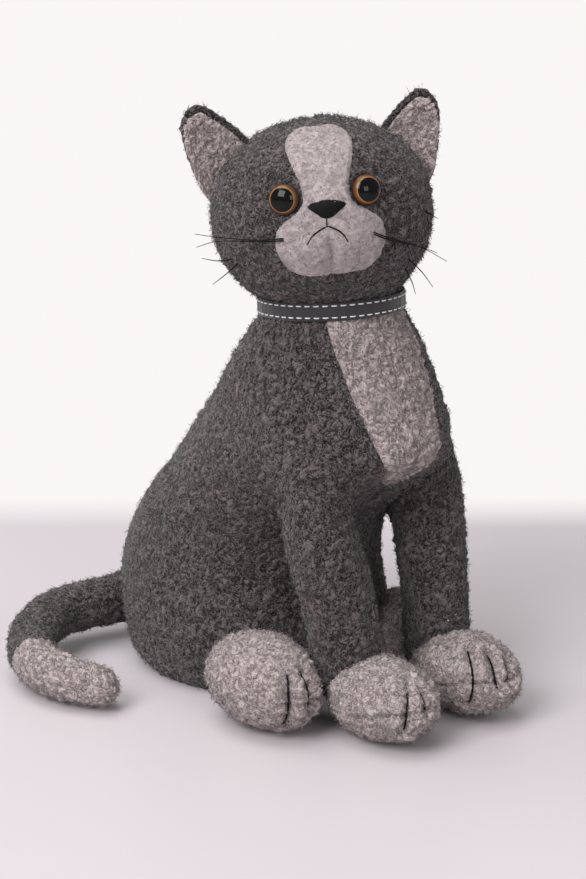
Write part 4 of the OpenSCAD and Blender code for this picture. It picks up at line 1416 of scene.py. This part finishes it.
    def set_whiskers(self, tailor: Tailor, side: Side) -> None:
        """Fine dark whiskers, thinning to their tips."""
        if side is Side.RIGHT:
            lines = ([(-22.8, -48.5, -4), (-34, -44.5, -4.3), (-44, -36, -4.2), (-55, -30, -3),
                      (-64, -28, -1)],
                     [(-22.8, -48.5, -5), (-34, -44.5, -5), (-44, -36, -5.2), (-55, -30, -5.5),
                      (-64, -28, -7.5)],
                     [(-46, -22, -16.6), (-54, -22, -16.8), (-62, -20, -15)],
                     [(-44.5, -24, -18.5), (-51, -25, -23), (-58, -22, -28)])
        else:
            lines = ([(18, -49.5, -4.5), (27, -47.5, -9.5), (36, -41, -14.5), (46, -31, -21),
                      (57, -24, -30)],
                     [(18, -49.5, -5.5), (27, -47.3, -10.5), (37, -40, -15.5), (45, -32, -20),
                      (52, -29, -24)],
                     [(38, -28.5, -25.5), (44, -28.5, -33), (49, -24, -42)],
                     [(36, -27.5, -30.5), (38.5, -28.5, -37), (40, -26, -44)],
                     [(48.5, -22, -4.5), (51.5, -23.5, -6), (54.5, -22.5, -8.5)])
        threads = []
        for line in lines:
            path = along(np.array(line, float), np.linspace(0, len(line) - 1, 24))
            threads.append(thread(self.seat.out(path), 0.36 * np.linspace(1.0, 0.4, 24), 8))
        tailor.stitch(f"whisker_hairs_{side.word}", threads, tailor.cupboard.black_thread, Ride("head"),
                      f"whiskers_{side.word}")


@dataclass
class Ear:
    """An upright ear: a dark back that wraps the inner edge, and a light cupped lining."""

    side: Side
    head: Head
    outline: Array = field(default_factory=lambda: np.array([
        [-7, -19, 17], [-1, -18.5, 18.5], [7, -15, 20.5], [14, -9.8, 21.4], [20, -4.4, 22],
        [26, 1.8, 21.8], [29.4, 6.2, 20.0], [31.3, 10.0, 16.5]], float))
    bases: tuple[Point, Point] = ((-43.9, 8.0, 22.0), (-44.9, 8.0, 18.8))
    shares: tuple[float, float] = (1.0, 0.92)
    lean: float = 124.0
    cup: float = 4.5

    def grid(self, y: float, inset: tuple[float, float, float], swell: float) -> Array:
        """Points of one face of the ear, in its own frame.

        Args:
            y: Place of the face in the ear's thickness.
            inset: How far the outer edge, inner edge and tip are drawn in.
            swell: How far the middle stands out past its edges.

        Returns:
            The grid of points.
        """
        keys = even_places(self.outline, 0, len(self.outline) - 1, 57)
        g = along(self.outline, keys)
        top = g[-1, 0] - inset[2]
        v = g[:, :1] * (top / g[-1, 0]) if top else g[:, :1]
        low, high = g[:, 1:2] + inset[0], g[:, 2:3] - inset[1]
        q = np.linspace(-1, 1, 49)[None]
        middle, half = (low + high) / 2, (high - low) / 2
        near_tip = soft_step((g[-1, 0] - g[:, :1]) / 9.0)
        bow = self.cup * (1 - q * q) * half / 18 * near_tip
        round_off = (1 - np.abs(q) ** 6) * soft_step((g[-1, 0] - g[:, :1]) / 3.0 + 0.1)
        return np.stack([middle + q * half, y * (0.35 + 0.65 * round_off) + bow + swell * round_off,
                         v + 0 * q], -1)

    def sew(self, tailor: Tailor) -> None:
        """Sews the back and the lining."""
        s = self.side.value
        which = 0 if self.side is Side.RIGHT else 1
        base = self.bases[which]
        seat = Seat(base, turn("y", self.lean - 180) @ np.diag((1.0, 1.0, self.shares[which])))
        flip = np.array((-s, 1, 1))

        def place(points: Array) -> Array:
            """Ear points in the cat's frame, mirrored for the left ear."""
            return self.head.seat.out(seat.out(points) * flip)

        out = self.head.seat.matrix @ ((seat.matrix @ np.array((0.0, 0.0, 1.0))) * flip)
        root = self.head.seat.out(np.array(base) * flip)
        ride = Ride("head", f"ear_{self.side.word}", tuple(root - out * 1.0), tuple(root + out * 11.0))
        nap = tailor.cupboard.nap
        pairs = (("ear_back_wool", self.grid(2.6, (0.8, 0.0, 0.0), 0.0),
                  self.grid(-1.4, (1.6, 0.0, 0.0), 0.0), Tone.DARK, "ear_back", "dark_wool"),
                 ("ear_lining_felt", self.grid(-2.2, (0.0, 3.2, 2.6), -0.5),
                  self.grid(0.6, (0.6, 3.6, 3.0), 0.0), Tone.LIGHT, "ear_lining", "felt"))
        for name, face, rear, tone, node, slot in pairs:
            order = slice(None, None, 1 if (s < 0) == (tone is Tone.LIGHT) else -1)
            skin, lining = Skin(place(face)[:, order]), Skin(place(rear)[:, order])
            relief = nap[tone].relief(skin.points) * 0.8
            outer = skin.raised(relief)
            points, triangles, quads = cloth_shell(outer, lining, 4)
            piece = make_piece(f"{name}_{self.side.word}", points, triangles, quads,
                               [tailor.cupboard.cloth[tone]])
            # the curls' height, stored for the finish, which paints shade into the creases from it
            level = np.full(len(points), 0.3)
            level[: relief.size] = (relief / nap[tone].height + 0.35).ravel()
            mark(piece, "nap", level)
            ride.fit(piece, f"{node}_{self.side.word}")
            tailor.fluff(f"{name}_{self.side.word}", outer, tone, ride, 0.9)


# ---------------------------------------------------------------- collar and the rest


@dataclass
class Collar:
    """Ribbed ribbon round the neck, with white running stitches along both edges."""

    neck: Seat
    radius: float = 36.6
    width: float = 9.0
    thick: float = 0.8
    stitches: int = 52
    inset: float = 1.6
    rise: float = 1.2

    def ring(self, degrees: Array, height: Array, lift: float) -> Array:
        """Point of the ribbon: a circle with a slight wave along its edges."""
        a = np.radians(degrees)
        wave = 0.25 * np.sin(3 * a + 0.6) + 0.15 * np.sin(7 * a)
        r = self.radius + lift + wave * height / self.width
        return self.neck.out(np.stack([r * np.sin(a), -r * np.cos(a), self.rise + height + 0 * a], -1))

    def sew(self, tailor: Tailor) -> None:
        """Makes the ribbon and its stitches."""
        angles = np.arange(0, 360, 0.5)[None]
        heights = np.linspace(-0.5, 0.5, 13)[:, None] * self.width
        edge = 0.25 * (np.abs(heights / self.width) > 0.46)
        ribs = 0.05 * np.cos(np.radians(angles) * 380)
        skin = Skin(self.ring(angles, heights, self.thick + ribs - edge), closed=True)
        lining = Skin(self.ring(angles, heights, 0.0), closed=True)
        points, triangles, quads = cloth_shell(skin, lining, 4)
        ribbon = make_piece("collar_band", points, triangles, quads, [tailor.cupboard.ribbon])
        local = self.neck.back(points)
        round_mm = np.arctan2(local[:, 0], -local[:, 1]) * self.radius
        mark_uv(ribbon, np.stack([round_mm, local[:, 2]], 1))
        Ride("collar").fit(ribbon, "collar_ribbon")
        parts = []
        for edge_side in (-1, 1):
            height = edge_side * (self.width / 2 - self.inset)
            for i in range(self.stitches):
                middle = (i + 0.5) * 360 / self.stitches
                half = math.degrees(1.2 / self.radius)
                sweep = np.linspace(-1, 1, 7)
                path = self.ring(middle + half * sweep, height + 0 * sweep,
                                 self.thick - 0.1 + 0.4 * (1 - sweep**4))
                parts.append(thread(path, 0.34, 8))
        stitches = tailor.stitch("collar_running_stitch", parts, tailor.cupboard.white_thread,
                                 Ride("collar"), "collar_stitches")


@dataclass
class Studio:
    """Pale floor, soft light and the camera."""

    target: Point = (-31.8, -65.0, 140.0)
    lit: Point = (-20.0, -60.0, 150.0)
    azimuth: float = -39.7
    elevation: float = 16.0
    distance: float = 1300.0
    lens: float = 106.5
    floor_size: float = 12000.0
    table_end: float = 0.22
    table_fade: float = 0.066

    def build(self) -> None:
        """Puts up floor, world light, soft boxes and camera."""
        board = Board("pale_floor", Roughness=0.35, Specular_IOR_Level=0.35)
        a = math.radians(self.azimuth)
        apart = board.add("ShaderNodeSeparateXYZ", {"Vector": board.place()}).outputs
        beyond = board.sum("SUBTRACT", board.sum("MULTIPLY", apart["Y"], math.cos(a)),
                           board.sum("MULTIPLY", apart["X"], math.sin(a)))
        fade = board.sum("MULTIPLY", board.sum("SUBTRACT", beyond, self.table_end), 1 / self.table_fade)
        white, pale, black = (0.955, 0.925, 0.925), (0.55, 0.505, 0.53), (0.0, 0.0, 0.0)
        board.set(board.shader, "Base Color", board.ramp(fade, [(0.0, pale), (1.0, black)]))
        board.set(board.shader, "Emission Color", board.ramp(fade, [(0.0, black), (1.0, white)]))
        board.set(board.shader, "Emission Strength", 1.0)
        board.set(board.shader, "Specular IOR Level",
                  board.sum("SUBTRACT", 0.35, board.sum("MULTIPLY", board.clamp(fade), 0.35)))
        half = self.floor_size / 2
        corners = np.array([(-half, -half, 0), (half, -half, 0), (half, half, 0), (-half, half, 0)])
        floor = make_piece("floor", corners, np.empty((0, 3)), np.array([[0, 1, 2, 3]]), [board.material])
        world = bpy.data.worlds.new("studio")
        bpy.context.scene.world = world
        world.use_nodes = True
        back = world.node_tree.nodes["Background"]
        back.inputs["Color"].default_value = (1.0, 0.985, 0.985, 1.0)
        seen = world.node_tree.nodes.new("ShaderNodeLightPath").outputs["Is Camera Ray"]
        strength = world.node_tree.nodes.new("ShaderNodeMapRange")
        world.node_tree.links.new(seen, strength.inputs["Value"])
        strength.inputs["To Min"].default_value, strength.inputs["To Max"].default_value = 0.4, 0.93
        world.node_tree.links.new(strength.outputs["Result"], back.inputs["Strength"])
        self.soft_box("key", (-2300, -600, 1900), (1700, 1800), 84)
        self.soft_box("fill", (-700, -3000, 1100), (1200, 1200), 20)
        self.soft_box("top", (-500, 600, 3000), (2400, 2400), 62)
        camera = bpy.data.objects.new("camera", bpy.data.cameras.new("camera"))
        camera.data.lens = self.lens
        camera.data.sensor_width = 36.0
        camera.data.clip_end = 30.0
        a, e = math.radians(self.azimuth), math.radians(self.elevation)
        back_way = Vector((math.sin(a) * math.cos(e), -math.cos(a) * math.cos(e), math.sin(e)))
        camera.location = (Vector(self.target) + back_way * self.distance) * MM
        camera.rotation_euler = (-back_way).to_track_quat("-Z", "Y").to_euler()
        bpy.context.scene.collection.objects.link(camera)
        bpy.context.scene.camera = camera

    def soft_box(self, name: str, spot: Point, size: tuple[float, float], watts: float) -> None:
        """A rectangular soft light that faces the cat."""
        lamp = bpy.data.lights.new(name, "AREA")
        lamp.shape = "RECTANGLE"
        lamp.size, lamp.size_y = size[0] * MM, size[1] * MM
        lamp.energy = watts
        holder = bpy.data.objects.new(name, lamp)
        holder.location = Vector(spot) * MM
        ahead = Vector(self.lit) - Vector(spot)
        holder.rotation_euler = ahead.to_track_quat("-Z", "Y").to_euler()
        bpy.context.scene.collection.objects.link(holder)


def dress_inside(cupboard: Cupboard) -> None:
    """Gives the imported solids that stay, all inside the covers or under them, their finishes."""
    for name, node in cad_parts.items():
        finish = cupboard.stuffing
        if "washer" in name:
            finish = cupboard.washer
        elif name == "pellet_bag":
            finish = cupboard.pellets
        elif name == "base_panel":
            finish = cupboard.cloth[Tone.DARK]
        node.data.materials.clear()
        node.data.materials.append(finish)


def main() -> None:
    """Builds and dresses every sub-assembly in order."""
    logging.basicConfig(level=logging.INFO, format="%(name)s: %(message)s")
    bpy.context.scene.view_settings.view_transform = "Standard"
    Studio().build()
    cupboard = Cupboard()
    dress_inside(cupboard)
    tailor = Tailor(cupboard)
    torso, head = Torso(), Head()
    legs = [Foreleg(side) for side in Side]
    torso.sew(tailor, legs)
    hind_paws = (HindPaw(Side.RIGHT, (-63.0, -80.0, 24.0), (24.6, 36.0, 23.8)),
                 HindPaw(Side.LEFT, (50.0, -62.0, 20.5), (22.5, 28.0, 20.5)))
    for leg, hind_paw in zip(legs, hind_paws):
        leg.sew(tailor, torso)
        hind_paw.sew(tailor, torso, leg)
    Tail().sew(tailor, torso)
    head.sew(tailor)
    Collar(head.neck).sew(tailor)


if __name__ == "__main__":
    main()
